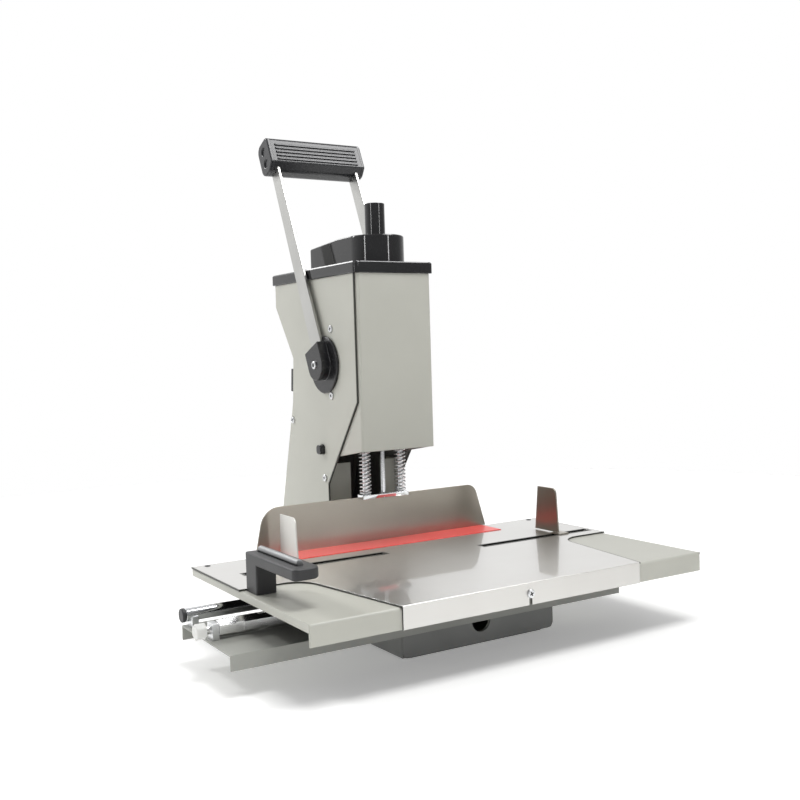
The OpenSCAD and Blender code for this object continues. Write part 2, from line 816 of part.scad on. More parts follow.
function guard_plan(r, rear) = let (c = 6) concat(arc_points([0, 0], r, 180, 360, 32),
    arc_points([r - c, rear - c], c, 0, 90, 6), arc_points([c - r, rear - c], c, 90, 180, 6));

module belt_guard() {
    color(plastic_black) difference() {
        along_z(cap_top, guard_top) polygon(guard_plan(guard_r, guard_rear));
        along_z(cap_top - 1, guard_top - guard_drop - guard_wall)
            polygon(guard_plan(guard_r - guard_wall, guard_rear - guard_wall));
        along_x(-guard_r - 1, guard_r + 1) polygon([[guard_r, guard_top], [guard_rear + 1, guard_top - guard_drop],
            [guard_rear + 1, guard_top + 1], [guard_r, guard_top + 1]]);
        bar_z(cap_top, guard_top + 1, 0, 0, cover_bore / 2);
    }
}

module spindle_cover() {
    color(plastic_black) difference() {
        bar_z(guard_top, guard_top + cover_h, 0, 0, cover_d / 2);
        bar_z(guard_top - 1, guard_top + cover_h + 1, 0, 0, cover_bore / 2);
    }
}

module power_inlet() {
    depth = 18;
    flange = 13;
    color(plastic_black) at_inlet() difference() {
        union() {
            box([-inlet_w / 2, inlet_w / 2], [-depth, 1], [-inlet_h / 2, inlet_h / 2]);
            box([-inlet_w / 2 - 2, inlet_w / 2 + 2], [0.05, flange], [-inlet_h / 2 - 3, inlet_h / 2 + 3]);
        }
        box([4 - inlet_w / 2, inlet_w / 2 - 4], [-10, flange + 1], [3 - inlet_h / 2, inlet_h / 2 - 3]);
    }
}

module switch_button() {
    half = button_w / 2;
    color(plastic_black) union() {
        along_x(-panel_out - button_out, -panel_in + 1)
            translate(button_at) polygon(round_box(-half, half, -half, half, button_round));
        along_x(-panel_in + slide_gap, -panel_in + 3)
            translate(button_at) polygon(round_box(-half - 2, half + 2, -half - 2, half + 2, 2));
    }
}

// Belt drive on top of the head plate
module motor() {
    low = head_plate_low - motor_len;
    color(steel) difference() {
        union() {
            bar_z(low + 8, head_plate_low, 0, motor_y, motor_r);
            bar_z(low, low + 8, 0, motor_y, motor_r - 6);
        }
        bar_z(head_plate_low - 22, head_plate_low + 1, 0, motor_y, motor_shaft_r + run_fit);
    }
}

module motor_pulley() {
    color(bright_steel) union() {
        bar_z(head_plate_low - 20, pulley_low, 0, motor_y, motor_shaft_r);
        bar_z(pulley_low, pulley_low + pulley_flange - slide_gap, 0, motor_y, motor_pulley_r + 2);
        bar_z(pulley_low, pulley_low + pulley_w, 0, motor_y, motor_pulley_r);
    }
}

module drive_belt() {
    inner = slide_gap;
    outer = slide_gap + belt_t;
    low = pulley_low + pulley_flange;
    color(plastic_black) along_z(low, low + belt_w) difference() {
        hull() {
            circle(r = spindle_pulley_r + outer);
            translate([0, motor_y]) circle(r = motor_pulley_r + outer);
        }
        hull() {
            circle(r = spindle_pulley_r + inner);
            translate([0, motor_y]) circle(r = motor_pulley_r + inner);
        }
    }
}

module pulley_bearing() {
    color(steel) difference() {
        bar_z(head_plate_top, pulley_low - 2, 0, 0, bearing_ring_r);
        bar_z(head_plate_top - 1, pulley_low, 0, 0, pulley_hub_r + run_fit);
    }
}

module spindle_pulley() {
    color(bright_steel) difference() {
        union() {
            bar_z(head_plate_top + slide_gap, pulley_low, 0, 0, pulley_hub_r);
            bar_z(pulley_low, pulley_low + pulley_flange - slide_gap, 0, 0, spindle_pulley_r + 2);
            bar_z(pulley_low, pulley_low + pulley_w, 0, 0, spindle_pulley_r);
        }
        translate([0, 0, head_plate_top])
            cylinder(r = (spindle_af / 2 + 0.1) / cos(30), h = pulley_low + pulley_w, $fn = 6);
    }
}

// Spindle: a hollow shaft whose hexagonal upper end slides through the pulley
module spindle() {
    color(bright_steel) difference() {
        union() {
            bar_z(nose_low, nose_top, 0, 0, nose_r);
            bar_z(nose_top, hex_low, 0, 0, spindle_r);
            translate([0, 0, hex_low])
                cylinder(r = spindle_af / 2 / cos(30), h = spindle_top - hex_low, $fn = 6);
        }
        bar_z(nose_low - 1, spindle_top + 1, 0, 0, chip_r);
        bar_z(nose_low - 1, nose_low + shank_len, 0, 0, shank_r + run_fit);
    }
}

module hollow_drill() {
    tip = 4;
    bore = drill_r - drill_wall;
    shank_top = nose_low + shank_len;
    color(bright_steel) rotate_extrude() polygon([[bore, presser_z], [drill_r, presser_z + tip],
        [drill_r, nose_low], [shank_r, nose_low], [shank_r, shank_top], [bore, shank_top]]);
}

// Quill: a sleeve with a rack, driven down by the lever's pinion
module quill() {
    color(steel) difference() {
        bar_z(quill_low, quill_top, 0, 0, quill_r);
        bar_z(quill_low - 1, quill_top + 1, 0, 0, quill_bore_r);
        box([-rack_w / 2, rack_w / 2], [rack_back, quill_r + 1], [rack_low, rack_high]);
    }
}

module quill_bearings() {
    color(steel) for (z = [quill_low + 2, quill_top - 2 - bearing_w]) difference() {
        bar_z(z, z + bearing_w, 0, 0, quill_bore_r);
        bar_z(z - 1, z + bearing_w + 1, 0, 0, spindle_r + run_fit);
    }
}

// Rack teeth: trapezoids on the pitch line, one of them level with the pivot
module feed_rack() {
    half = tooth_pitch * tooth_share / 2;
    tip = half - tooth_m * tan(pressure);
    root = half + 1.25 * tooth_m * tan(pressure);
    first = ceil((rack_low + root - pivot_z) / tooth_pitch);
    last = floor((rack_high - root - pivot_z) / tooth_pitch);
    y_tip = rack_line + tooth_m;
    y_root = rack_line - 1.25 * tooth_m;
    teeth_points = [for (k = [first:last], p = [[y_root, -root], [y_tip, -tip], [y_tip, tip], [y_root, root]])
        p + [0, pivot_z + k * tooth_pitch]];
    color(bright_steel) along_x(-rack_w / 2, rack_w / 2) polygon(concat([[rack_back, rack_high],
        [rack_back, rack_low], [y_root, rack_low]], teeth_points, [[y_root, rack_high]]));
}

module crosshead() {
    color(steel) difference() {
        along_z(crosshead_low, crosshead_top) polygon(round_box(-crosshead_w / 2, crosshead_w / 2,
            -crosshead_d / 2, crosshead_d / 2, 6));
        bar_z(crosshead_low - 1, crosshead_top + 1, 0, 0, quill_r);
        for (x = [-presser_x, presser_x])
            bar_z(crosshead_low - 1, crosshead_top + 1, x, 0, presser_rod_r + run_fit);
    }
}

// Presser: a foot on two sprung rods round the drill
module presser_foot() {
    color(bright_steel) difference() {
        along_z(presser_z, presser_top) polygon(round_box(-presser_w / 2, presser_w / 2,
            -presser_d / 2, presser_d / 2, 2));
        bar_z(presser_z - 1, presser_top + 1, 0, 0, drill_r + 1.4);
        for (x = [-presser_x, presser_x]) bar_z(rod_seat, presser_top + 1, x, 0, presser_rod_r);
    }
}

module presser_rods() {
    collar_low = crosshead_top + slide_gap;
    color(bright_steel) for (x = [-presser_x, presser_x]) {
        bar_z(rod_seat, collar_low, x, 0, presser_rod_r);
        bar_z(collar_low, collar_low + collar_t, x, 0, collar_r);
    }
}

// Springs: one tube each, wound by a formula, with short upright ends
spring_low = presser_top + slide_gap;
spring_high = crosshead_low - slide_gap;
spring_steps = 8 * spring_turns;
spring_path = concat([[spring_r, 0, spring_low]],
    [for (i = [0:spring_steps]) let (a = 360 * i / 8) [spring_r * cos(a), spring_r * sin(a),
        spring_low + wire_d + (spring_high - spring_low - 2 * wire_d) * i / spring_steps]],
    [[spring_r, 0, spring_high]]);
spring_gap = min([for (i = [0:len(spring_path) - 1]) for (j = [i + 5:1:len(spring_path) - 1])
    norm(spring_path[i] - spring_path[j])]) - wire_d;
echo(spring_least_gap = spring_gap);

function unit(v) = v / norm(v);
module tube(path, d, sides) {
    last = len(path) - 1;
    rings = [for (i = [0:last]) let (
        ahead = i < last ? unit(path[i + 1] - path[i]) : unit(path[i] - path[i - 1]),
        behind = i > 0 ? unit(path[i] - path[i - 1]) : ahead,
        along = unit(ahead + behind),
        out = unit([path[i].x, path[i].y, 0] - along * ([path[i].x, path[i].y, 0] * along)),
        side = cross(along, out))
        for (k = [0:sides - 1]) path[i] + d / 2 * (out * cos(360 * k / sides) + side * sin(360 * k / sides))];
    walls = [for (i = [0:last - 1], k = [0:sides - 1]) let (
        a = i * sides + k, b = i * sides + (k + 1) % sides)
        each [[a, b + sides, b], [a, a + sides, b + sides]]];
    start = [for (k = [1:sides - 2]) [0, k, k + 1]];
    end = [for (k = [1:sides - 2]) [last * sides, last * sides + k + 1, last * sides + k]];
    polyhedron(rings, concat(walls, start, end), convexity = 20);
}

module presser_springs() {
    color(bright_steel) for (x = [-presser_x, presser_x]) translate([x, 0, 0]) tube(spring_path, wire_d, 6);
}

// Lever: drawn upright about its pivot, then leaned back
module at_lever() { translate([0, pivot_y, pivot_z]) rotate([-lever_lean, 0, 0]) children(); }
arm_outline = concat(arc_points([0, 0], arm_w / 2, 180, 360, 16),
    [[arm_top_w / 2, arm_top], [-arm_top_w / 2, arm_top]]);

module lever_shaft() {
    color(steel) difference() {
        bar_x(-shaft_end, shaft_end, pivot_y, pivot_z, shaft_r);
        both_sides() bar_x(shaft_end - hub_screw_depth, shaft_end + 1, pivot_y, pivot_z, hub_screw_r);
    }
}

module shaft_bushes() {
    color(steel) both_sides() difference() {
        union() {
            bar_x(panel_in - bush_flange_t, panel_in, pivot_y, pivot_z, bush_flange_r);
            bar_x(panel_in, panel_out + 0.1, pivot_y, pivot_z, bush_r);
        }
        bar_x(panel_in - bush_flange_t - 1, panel_out + 1, pivot_y, pivot_z, shaft_r + run_fit);
    }
}

// Pinion: involute flanks through a few radii, with a gap that faces the rack at rest
function involute(a) = tan(a) * 180 / PI - a;
module drive_pinion() {
    base_r = pitch_r * cos(pressure);
    half = tooth_share * 360 / teeth / 2;
    root_r = pitch_r - 1.25 * tooth_m;
    tip_r = pitch_r + tooth_m;
    radii = [for (i = [0:4]) base_r + (tip_r - base_r) * i / 4];
    flank = concat([[root_r, half + involute(pressure)]],
        [for (r = radii) [r, half + involute(pressure) - involute(acos(base_r / r))]]);
    outline = [for (k = [0:teeth - 1]) let (middle = 180 + (k + 0.5) * 360 / teeth)
        each concat([for (p = flank) p[0] * [cos(middle - p[1]), sin(middle - p[1])]],
            [for (p = reversed(flank)) p[0] * [cos(middle + p[1]), sin(middle + p[1])]])];
    color(bright_steel) difference() {
        along_x(-pinion_w / 2, pinion_w / 2) translate([pivot_y, pivot_z]) polygon(outline);
        bar_x(-pinion_w, pinion_w, pivot_y, pivot_z, shaft_r);
    }
}

module return_spring_case() {
    color(steel) difference() {
        bar_x(panel_in - 30, panel_in - bush_flange_t, pivot_y, pivot_z, spring_case_r);
        bar_x(panel_in - 31, panel_in, pivot_y, pivot_z, shaft_r + slide_gap);
    }
}

module lever_arms() {
    color(paint_grey) both_sides() difference() {
        at_lever() along_x(arm_in, arm_out) polygon(arm_outline);
        bar_x(arm_in - 1, arm_out + 1, pivot_y, pivot_z, shaft_r);
    }
}

module lever_hubs() {
    socket = concat(arc_points([0, 0], boss_r, 180, 360, 16), [[boss_r, boss_h], [-boss_r, boss_h]]);
    color(plastic_black) both_sides() difference() {
        union() {
            bar_x(hub_in, arm_in, pivot_y, pivot_z, hub_r);
            at_lever() along_x(arm_in, boss_out) polygon(socket);
        }
        at_lever() along_x(arm_in, arm_out) polygon(arm_outline);
        bar_x(hub_in - 1, shaft_end, pivot_y, pivot_z, shaft_r);
        bar_x(arm_out, boss_out + 1, pivot_y, pivot_z, hub_screw_r);
    }
}

module hub_screws() {
    color(bright_steel) both_sides() {
        bar_x(shaft_end - hub_screw_depth + 1, boss_out, pivot_y, pivot_z, hub_screw_r);
        bar_x(boss_out, boss_out + hub_screw_head_h, pivot_y, pivot_z, hub_screw_head_r);
    }
}

module grip() {
    ribs = 5;
    rib_step = grip_h * 0.118;
    rib_w = rib_step * 0.55;
    rib_low = lever_len - grip_h * 0.27;
    rib_inset = grip_t / 6;
    color(plastic_black) at_lever() difference() {
        union() {
            along_x(-grip_side, grip_side) translate([0, lever_len]) polygon(grip_section);
            for (k = [0:ribs - 1])
                translate([rib_inset - grip_side, -grip_t / 2 - rib_h, rib_low + k * rib_step])
                    cube([2 * grip_side - 2 * rib_inset, 4 + rib_h, rib_w]);
        }
        both_sides() along_x(arm_in, arm_out) polygon(arm_outline);
    }
}

module grip_end_caps() {
    dimple_r = grip_t / 6;
    color(plastic_black) at_lever() both_sides() difference() {
        along_x(grip_side, grip_side + grip_cap_t) translate([0, lever_len]) polygon(grip_section);
        for (z = [-grip_h / 5, grip_h / 5])
            bar_x(grip_side + grip_cap_t - 2, grip_side + grip_cap_t + 1, 0, lever_len + z, dimple_r);
    }
}

// Table: a folded sheet with a stainless plate on it
module stop_slots(z0, z1) {
    box([-left_slot_out, -left_slot_in], [-left_slot_y - slot_w / 2, -left_slot_y + slot_w / 2], [z0, z1]);
    box([right_slot_in, right_slot_out], [-right_slot_y - slot_w / 2, -right_slot_y + slot_w / 2], [z0, z1]);
}

module table_plate() {
    half = table_w / 2;
    color(paint_grey) difference() {
        union() {
            box([-half, half], [-table_front, table_rear], [sheet_low, sheet_top]);
            box([-half, half], [-table_front, table_t - table_front], [flange_low, sheet_top]);
            box([-half, half], [table_rear - table_t, table_rear], [table_z - table_lip, sheet_top]);
            box([-rear_flange_half, rear_flange_half], [table_rear - table_t, table_rear],
                [flange_low, sheet_top]);
            both_sides()
                box([half - table_t, half], [-table_front, table_rear], [table_z - table_lip, sheet_top]);
            bar_z(pawl_boss_low, sheet_low, pawl_x, -index_y, pawl_boss_r);
        }
        bar_z(pawl_boss_low - 1, sheet_low, pawl_x, -index_y, pawl_r + run_fit);
        stop_slots(sheet_low - 1, sheet_top + 1);
        for (x = [-pin_x, pin_x]) bar_y(table_rear - table_t - 1, table_rear + 1, x, pin_z, pin_d / 2);
        bar_y(-table_front - 1, table_t - table_front + 1, 0, flange_screw_z, screw_r);
        flange_slot();
    }
}
flange_screw_z = table_z - table_flange * 0.5;
// Open slot below the flange screw, through the plate and the table
module flange_slot() {
    box([-screw_r, screw_r], [-table_front - top_t - 1, table_t - table_front + 1],
        [flange_low - 1, flange_screw_z]);
}

module steel_top() {
    front = table_front + top_t;
    corner = [plate_front_w / 2, -front];
    centre = [plate_turn, -plate_side - plate_round];
    turn = touch_angle(corner, centre, plate_round, -1) + 360;
    half = concat([corner], arc_points(centre, plate_round, turn, 90, 10),
        [[table_w / 2, -plate_side], [table_w / 2, table_rear]]);
    gap = slide_gap;
    color(steel) difference() {
        union() {
            along_z(sheet_top, table_z) polygon(concat(half, mirrored(half)));
            box([-corner.x, corner.x], [-front, -table_front], [flange_low, table_z]);
        }
        stop_slots(sheet_top - 1, table_z + 1);
        box([-strip_w / 2 - gap, strip_w / 2 + gap], [-strip_front - gap, table_rear + 1],
            [sheet_top - 1, table_z + 1]);
        bar_y(-front - 1, 1 - table_front, 0, flange_screw_z, screw_r);
        flange_slot();
    }
}

module cutting_strip() {
    color(strip_red) box([-strip_w / 2, strip_w / 2], [-strip_front, table_rear], [sheet_top, strip_top]);
}

module flange_screw() {
    front = table_front + top_t;
    color(steel) {
        bar_y(-front, table_t - table_front + 3, 0, flange_screw_z, screw_r);
        bar_y(-front - screw_head_h, -front, 0, flange_screw_z, screw_head_r);
    }
}

module bearing_blocks() {
    color(steel) for (x = [left_block, right_block]) difference() {
        box([x - block_l / 2, x + block_l / 2], [-rod_y - block_d / 2, -rod_y + block_d / 2],
            [rod_z - rod_d / 2 - block_wall, sheet_low]);
        bar_x(x - block_l, x + block_l, -rod_y, rod_z, rod_d / 2 + run_fit);
    }
}

module front_glides() {
    color(knob_white) for (x = [left_block, right_block])
        box([x - block_l / 2, x + block_l / 2], [-carrier_front + glide_inset, -carrier_front + glide_inset + glide_d],
            [carrier_top + slide_gap, sheet_low]);
}

// Handle at the table's left, with a bar that is squeezed to free the pawl
module table_handle() {
    x1 = handle_x + handle_w;
    r = release_d / 2 + slide_gap;
    plan = concat(arc_points([x1 - 12, 12 - handle_front], 12, -90, 0, 6),
        [[x1, -handle_rear], [handle_x, -handle_rear]],
        arc_points([handle_x + 6, 6 - handle_front], 6, 180, 270, 6));
    color(plastic_black) difference() {
        union() {
            along_z(handle_arm_low, handle_top) polygon(plan);
            box([handle_x, handle_x + leg_w], [-handle_rear - leg_d, -handle_rear], [sheet_top, handle_top]);
        }
        box([release_x - r, release_x + r],
            [-release_rear - release_len - slide_gap, -release_rear + slide_gap],
            [release_z - r - release_travel, handle_top + 1]);
    }
}

module release_bar() {
    color(bright_steel)
        bar_y(-release_rear - release_len, -release_rear, release_x, release_z, release_d / 2);
}

module index_pawl() {
    color(bright_steel) bar_z(pawl_low, sheet_low - pawl_lift - 1, pawl_x, -index_y, pawl_r);
}

// Side stops: an upright plate on a foot that is clamped through a slot
module stop(slot_y, stop_h, set_back, rear_lean) {
    foot_low = table_z + slide_gap;
    plate_low = strip_top + slide_gap;
    y0 = slot_w / 2 - slot_y + set_back;
    y1 = y0 + stop_d;
    top = table_z + stop_h;
    lean = 4;
    r = 8;
    outline = concat([[y0, plate_low], [y1, plate_low], [y1 - rear_lean, top]],
        arc_points([y0 + lean + r, top - r], r, 90, 170, 6));
    neck = slot_w / 2 - slide_gap;
    union() {
        along_x(-stop_t / 2, stop_t / 2) polygon(outline);
        box([-stop_foot_w / 2, stop_foot_w / 2], [-slot_y - 8, y0 + 8], [foot_low, plate_low + 0.5]);
        box([-stop_neck_w / 2, stop_neck_w / 2], [-slot_y - neck, -slot_y + neck],
            [sheet_low - 1, foot_low + 0.5]);
        box([-stop_nut_w / 2, stop_nut_w / 2], [-slot_y - stop_nut_d / 2, -slot_y + stop_nut_d / 2],
            [sheet_low - slide_gap - stop_nut_t, sheet_low - slide_gap]);
    }
}

module left_stop() {
    color(steel) translate([-left_stop_x, 0, 0]) stop(left_slot_y, left_stop_h, left_stop_back, 2);
}

module right_stop() {
    color(steel) translate([right_stop_x, 0, 0]) stop(right_slot_y, right_stop_h, right_stop_back, 7);
}

// One half of the fence's outline, from its skirt to the end of its round top corner
function fence_half(reach, top_reach, r) =
    let (corner = [reach, table_z + slide_gap], centre = [top_reach - r, fence_top - r])
        concat([[skirt_w / 2, flange_low + 1], [skirt_w / 2, corner.y], corner],
            arc_points(centre, r, touch_angle(corner, centre, r, 1), 90, 10));

// Fence: its skirt hangs behind the table and slides on two pins
module fence() {
    right = fence_half(fence_w / 2, fence_top_w / 2, fence_round);
    left = fence_half(fence_w / 2 + fence_left_more, fence_top_w / 2 + 2 * fence_left_more, fence_round * 1.6);
    color(steel) difference() {
        along_y(hole_margin, hole_margin + fence_t) polygon(concat(right, mirrored(left)));
        for (x = [-pin_x, pin_x])
            bar_y(hole_margin - 1, hole_margin + fence_t + 1, x, pin_z, pin_d / 2 + run_fit);
    }
}

module fence_pins() {
    color(bright_steel) for (x = [-pin_x, pin_x]) {
        bar_y(table_rear - table_t, table_rear + pin_len, x, pin_z, pin_d / 2);
        bar_y(table_rear + pin_len - pin_nut_t, table_rear + pin_len, x, pin_z, pin_nut_r);
    }
}

rubber_sole();
base_plinth();
drawer_front();
drawer_box();
carrier_tray();
guide_rod();
rod_caps();
carrier_brackets();
index_bar();
index_knob();
left_side_panel();
right_side_panel();
head_front_cover();
rear_cover();
column_front_panel();
head_plate();
quill_housing();
top_cap();
belt_guard();
spindle_cover();
panel_screws();
power_inlet();
switch_button();
motor();
motor_pulley();
drive_belt();
pulley_bearing();
spindle_pulley();
spindle();
hollow_drill();
quill();
quill_bearings();
feed_rack();
crosshead();
presser_foot();
presser_rods();
presser_springs();
lever_shaft();
shaft_bushes();
drive_pinion();
return_spring_case();
lever_arms();
lever_hubs();
hub_screws();
grip();
grip_end_caps();
table_plate();
steel_top();
cutting_strip();
flange_screw();
bearing_blocks();
front_glides();
table_handle();
release_bar();
index_pawl();
left_stop();
right_stop();
fence();
fence_pins();
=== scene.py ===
import json
import math

import bmesh
import bpy
from mathutils import Matrix, Vector

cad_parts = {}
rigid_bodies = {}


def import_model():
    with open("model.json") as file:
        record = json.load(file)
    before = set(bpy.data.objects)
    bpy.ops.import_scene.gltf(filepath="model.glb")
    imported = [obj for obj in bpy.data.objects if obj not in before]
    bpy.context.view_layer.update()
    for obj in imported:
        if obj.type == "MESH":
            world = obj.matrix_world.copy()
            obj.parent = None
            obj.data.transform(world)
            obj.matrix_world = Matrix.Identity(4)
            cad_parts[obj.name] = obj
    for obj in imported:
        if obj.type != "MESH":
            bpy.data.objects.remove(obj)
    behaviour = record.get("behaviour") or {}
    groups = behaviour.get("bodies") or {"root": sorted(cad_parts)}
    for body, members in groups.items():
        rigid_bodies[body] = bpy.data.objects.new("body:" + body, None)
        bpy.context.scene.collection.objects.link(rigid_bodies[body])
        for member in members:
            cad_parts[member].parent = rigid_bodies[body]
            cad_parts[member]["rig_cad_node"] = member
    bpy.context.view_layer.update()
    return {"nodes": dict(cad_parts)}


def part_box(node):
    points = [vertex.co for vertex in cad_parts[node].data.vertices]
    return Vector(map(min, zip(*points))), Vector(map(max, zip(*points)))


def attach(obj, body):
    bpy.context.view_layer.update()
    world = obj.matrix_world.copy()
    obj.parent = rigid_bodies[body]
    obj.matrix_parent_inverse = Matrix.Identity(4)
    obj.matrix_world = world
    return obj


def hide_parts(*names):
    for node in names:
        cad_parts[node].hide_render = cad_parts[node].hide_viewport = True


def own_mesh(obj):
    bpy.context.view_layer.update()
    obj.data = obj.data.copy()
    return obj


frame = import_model()


# Rubber sole
# A sheet of black natural rubber glued under the base, so that the machine stays put while the lever
# is pulled. It is cut from a rolled sheet, so it is matt with a fine cloth-like grain.
def linear(hex_colour):
    """Linear RGBA of an sRGB hex colour."""
    values = [int(hex_colour[i:i + 2], 16) / 255 for i in (1, 3, 5)]
    return (*[v / 12.92 if v <= 0.04045 else ((v + 0.055) / 1.055) ** 2.4 for v in values], 1.0)


def add(tree, kind, links=None, **settings):
    """Adds one node with its settings; links gives sockets or plain values for its inputs."""
    node = tree.nodes.new(kind)
    for name, value in settings.items():
        setattr(node, name, value)
    for socket, value in (links or {}).items():
        if isinstance(value, bpy.types.NodeSocket):
            tree.links.new(value, node.inputs[socket])
        else:
            node.inputs[socket].default_value = value
    return node


def new_finish(name, **constants):
    """A material with its constant shader values set; returns it, its node tree, shader and coordinates."""
    finish = bpy.data.materials.new(name)
    finish.use_nodes = True
    tree = finish.node_tree
    shader = tree.nodes["Principled BSDF"]
    for socket, value in constants.items():
        shader.inputs[socket.replace("_", " ")].default_value = value
    place = add(tree, "ShaderNodeTexCoord").outputs["Object"]
    return finish, tree, shader, place


def uneven_colour(tree, shader, place, dark, light, patch_mm):
    """Colour that drifts softly between two close tones over patches of a given size."""
    drift = add(tree, "ShaderNodeTexNoise", {"Vector": place, "Scale": 1000 / patch_mm, "Detail": 3.0})
    ramp = add(tree, "ShaderNodeValToRGB", {"Fac": drift.outputs["Fac"]})
    ramp.color_ramp.elements[0].position = 0.32
    ramp.color_ramp.elements[0].color = linear(dark)
    ramp.color_ramp.elements[1].position = 0.68
    ramp.color_ramp.elements[1].color = linear(light)
    tree.links.new(ramp.outputs["Color"], shader.inputs["Base Color"])


def grain(tree, shader, place, size_mm, height_mm):
    """Fine relief of a given grain size and height."""
    bumps = add(tree, "ShaderNodeTexNoise", {"Vector": place, "Scale": 1000 / size_mm, "Detail": 2.0})
    relief = add(tree, "ShaderNodeBump", {"Height": bumps.outputs["Fac"], "Strength": 1.0,
                                          "Distance": height_mm / 1000})
    tree.links.new(relief.outputs["Normal"], shader.inputs["Normal"])


def coat(node, finish):
    """Gives a CAD solid whose shape is already right its real finish."""
    solid = frame["nodes"][node]
    solid.data.materials.clear()
    solid.data.materials.append(finish)


# Matt black rubber, rolled: soft sheen with no clear reflection.
rubber, tree, shader, place = new_finish("rolled_black_rubber", Roughness=0.82, Specular_IOR_Level=0.35)
uneven_colour(tree, shader, place, "#1b1b1b", "#262626", 25)
grain(tree, shader, place, 1.6, 0.15)
coat("rubber_sole", rubber)


# Base plinth
# A box of 2 mm steel, folded and welded, coated in dark grey fine-textured powder paint. The folds leave
# a small radius on every outer edge.
def pick(piece):
    """Selects one object alone and makes it active."""
    bpy.ops.object.select_all(action="DESELECT")
    piece.select_set(True)
    bpy.context.view_layer.objects.active = piece


def merged_copy(node, name):
    """A copy of a CAD solid with its triangles joined and its flat faces whole."""
    pick(frame["nodes"][node])
    bpy.ops.object.duplicate()
    piece = bpy.context.active_object
    piece.name = name
    piece.data.name = name
    del piece["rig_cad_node"]
    bpy.ops.object.mode_set(mode="EDIT")
    bpy.ops.mesh.select_all(action="SELECT")
    bpy.ops.mesh.remove_doubles(threshold=2e-6)
    bpy.ops.mesh.dissolve_limited(angle_limit=math.radians(0.3))
    bpy.ops.object.mode_set(mode="OBJECT")
    return piece


def round_edges(piece, width_mm, steps=2, corner=48, where=None):
    """Rounds the sharp edges of a piece, or only those whose middle passes a test."""
    pick(piece)
    bpy.ops.object.mode_set(mode="EDIT")
    bpy.ops.mesh.select_mode(type="EDGE")
    bpy.ops.mesh.select_all(action="DESELECT")
    bpy.ops.mesh.edges_select_sharp(sharpness=math.radians(corner))
    if where:
        mesh = bmesh.from_edit_mesh(piece.data)
        for edge in mesh.edges:
            if edge.select and not where((edge.verts[0].co + edge.verts[1].co) / 2):
                edge.select_set(False)
        bmesh.update_edit_mesh(piece.data)
    bpy.ops.mesh.bevel(offset=width_mm / 1000, segments=steps, profile=0.5, clamp_overlap=False)
    bpy.ops.object.mode_set(mode="OBJECT")


def smooth(piece, angle=40):
    """Smooth shading over the rounded edges, with the flat faces kept flat."""
    pick(piece)
    bpy.ops.object.shade_smooth_by_angle(angle=math.radians(angle))
    weights = piece.modifiers.new("flat_faces", "WEIGHTED_NORMAL")
    weights.keep_sharp = True
    bpy.ops.object.modifier_apply(modifier=weights.name)


def fit(piece, body, finish, slot, *nodes):
    """Gives a finished piece its material and its body, and hides the CAD solids it stands for. The slot is
    not used.
    """
    piece.data.materials.clear()
    piece.data.materials.append(finish)
    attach(piece, body)
    if nodes:
        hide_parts(*nodes)
    return piece


def dressed(node, name, body, finish, slot, width_mm, steps=2):
    """A CAD solid with all its cut edges rounded alike."""
    piece = merged_copy(node, name)
    round_edges(piece, width_mm, steps)
    smooth(piece)
    return fit(piece, body, finish, slot, node)


# Dark grey textured powder paint: a pebbled skin that breaks up reflections. The pebbles are drawn at
# 1.8 mm, about twice their size, so that they show.
dark_paint, tree, shader, place = new_finish("textured_dark_powder_paint", Roughness=0.5)
uneven_colour(tree, shader, place, "#7b7c7a", "#838482", 70)
grain(tree, shader, place, 1.8, 0.12)
dressed("base_plinth", "plinth_box", "frame", dark_paint, "paint_dark", 0.9, 3)


# Drawer
# The chip drawer has a flanged front panel in the plinth's paint, with a half-round finger notch, and a
# light grey folded box behind it.
dressed("drawer_front", "drawer_panel", "drawer", dark_paint, "paint_dark", 0.7)

# Warm light grey satin powder paint: an even coat whose slight orange peel softens the highlights. The
# peel is drawn at 4 mm, coarser than the real 1.5 mm, so that it shows.
grey_paint, tree, shader, place = new_finish("satin_grey_powder_paint", Roughness=0.4)
uneven_colour(tree, shader, place, "#b8b8af", "#bfbfb6", 140)
grain(tree, shader, place, 4, 0.03)
dressed("drawer_box", "drawer_tray", "drawer", grey_paint, "paint_grey", 0.5)


# Carrier tray
# A tray of 2 mm steel across the base, folded down at the front and the rear, in a mid grey paint. The
# table's guide rod and index bar lie on it.
mid_paint, tree, shader, place = new_finish("satin_mid_grey_paint", Roughness=0.45)
uneven_colour(tree, shader, place, "#999a94", "#a1a29c", 90)
grain(tree, shader, place, 4, 0.03)
dressed("carrier_tray", "carrier_sheet", "frame", mid_paint, "paint_mid", 0.6)


# Guide rod
# A hard-chromed and ground steel bar with black moulded end caps, held in low saddles on the tray.
# Grinding leaves faint rings round the bar, which blur its reflections a little.
def tooled(name, colour, marks_mm, low, high):
    """Bare metal whose tool marks, of a given size along X, Y and Z, vary its sheen."""
    finish, tree, shader, place = new_finish(name, Metallic=1.0)
    shader.inputs["Base Color"].default_value = linear(colour)
    marks = add(tree, "ShaderNodeMapping", {"Vector": place, "Scale": [1000 / size for size in marks_mm]})
    rub = add(tree, "ShaderNodeTexNoise", {"Vector": marks.outputs["Vector"], "Scale": 1.0, "Detail": 3.0})
    sheen = add(tree, "ShaderNodeMapRange", {"Value": rub.outputs["Fac"], "To Min": low, "To Max": high})
    tree.links.new(sheen.outputs["Result"], shader.inputs["Roughness"])
    return finish


# Hard chrome, ground across the bar: a clear mirror along it. The rings are drawn at 1.1 mm, so that
# they show.
ground_chrome = tooled("ground_hard_chrome", "#d9dadc", (1.1, 33, 33), 0.08, 0.2)
dressed("guide_rod", "guide_bar", "frame", ground_chrome, "bright_steel", 0.8)

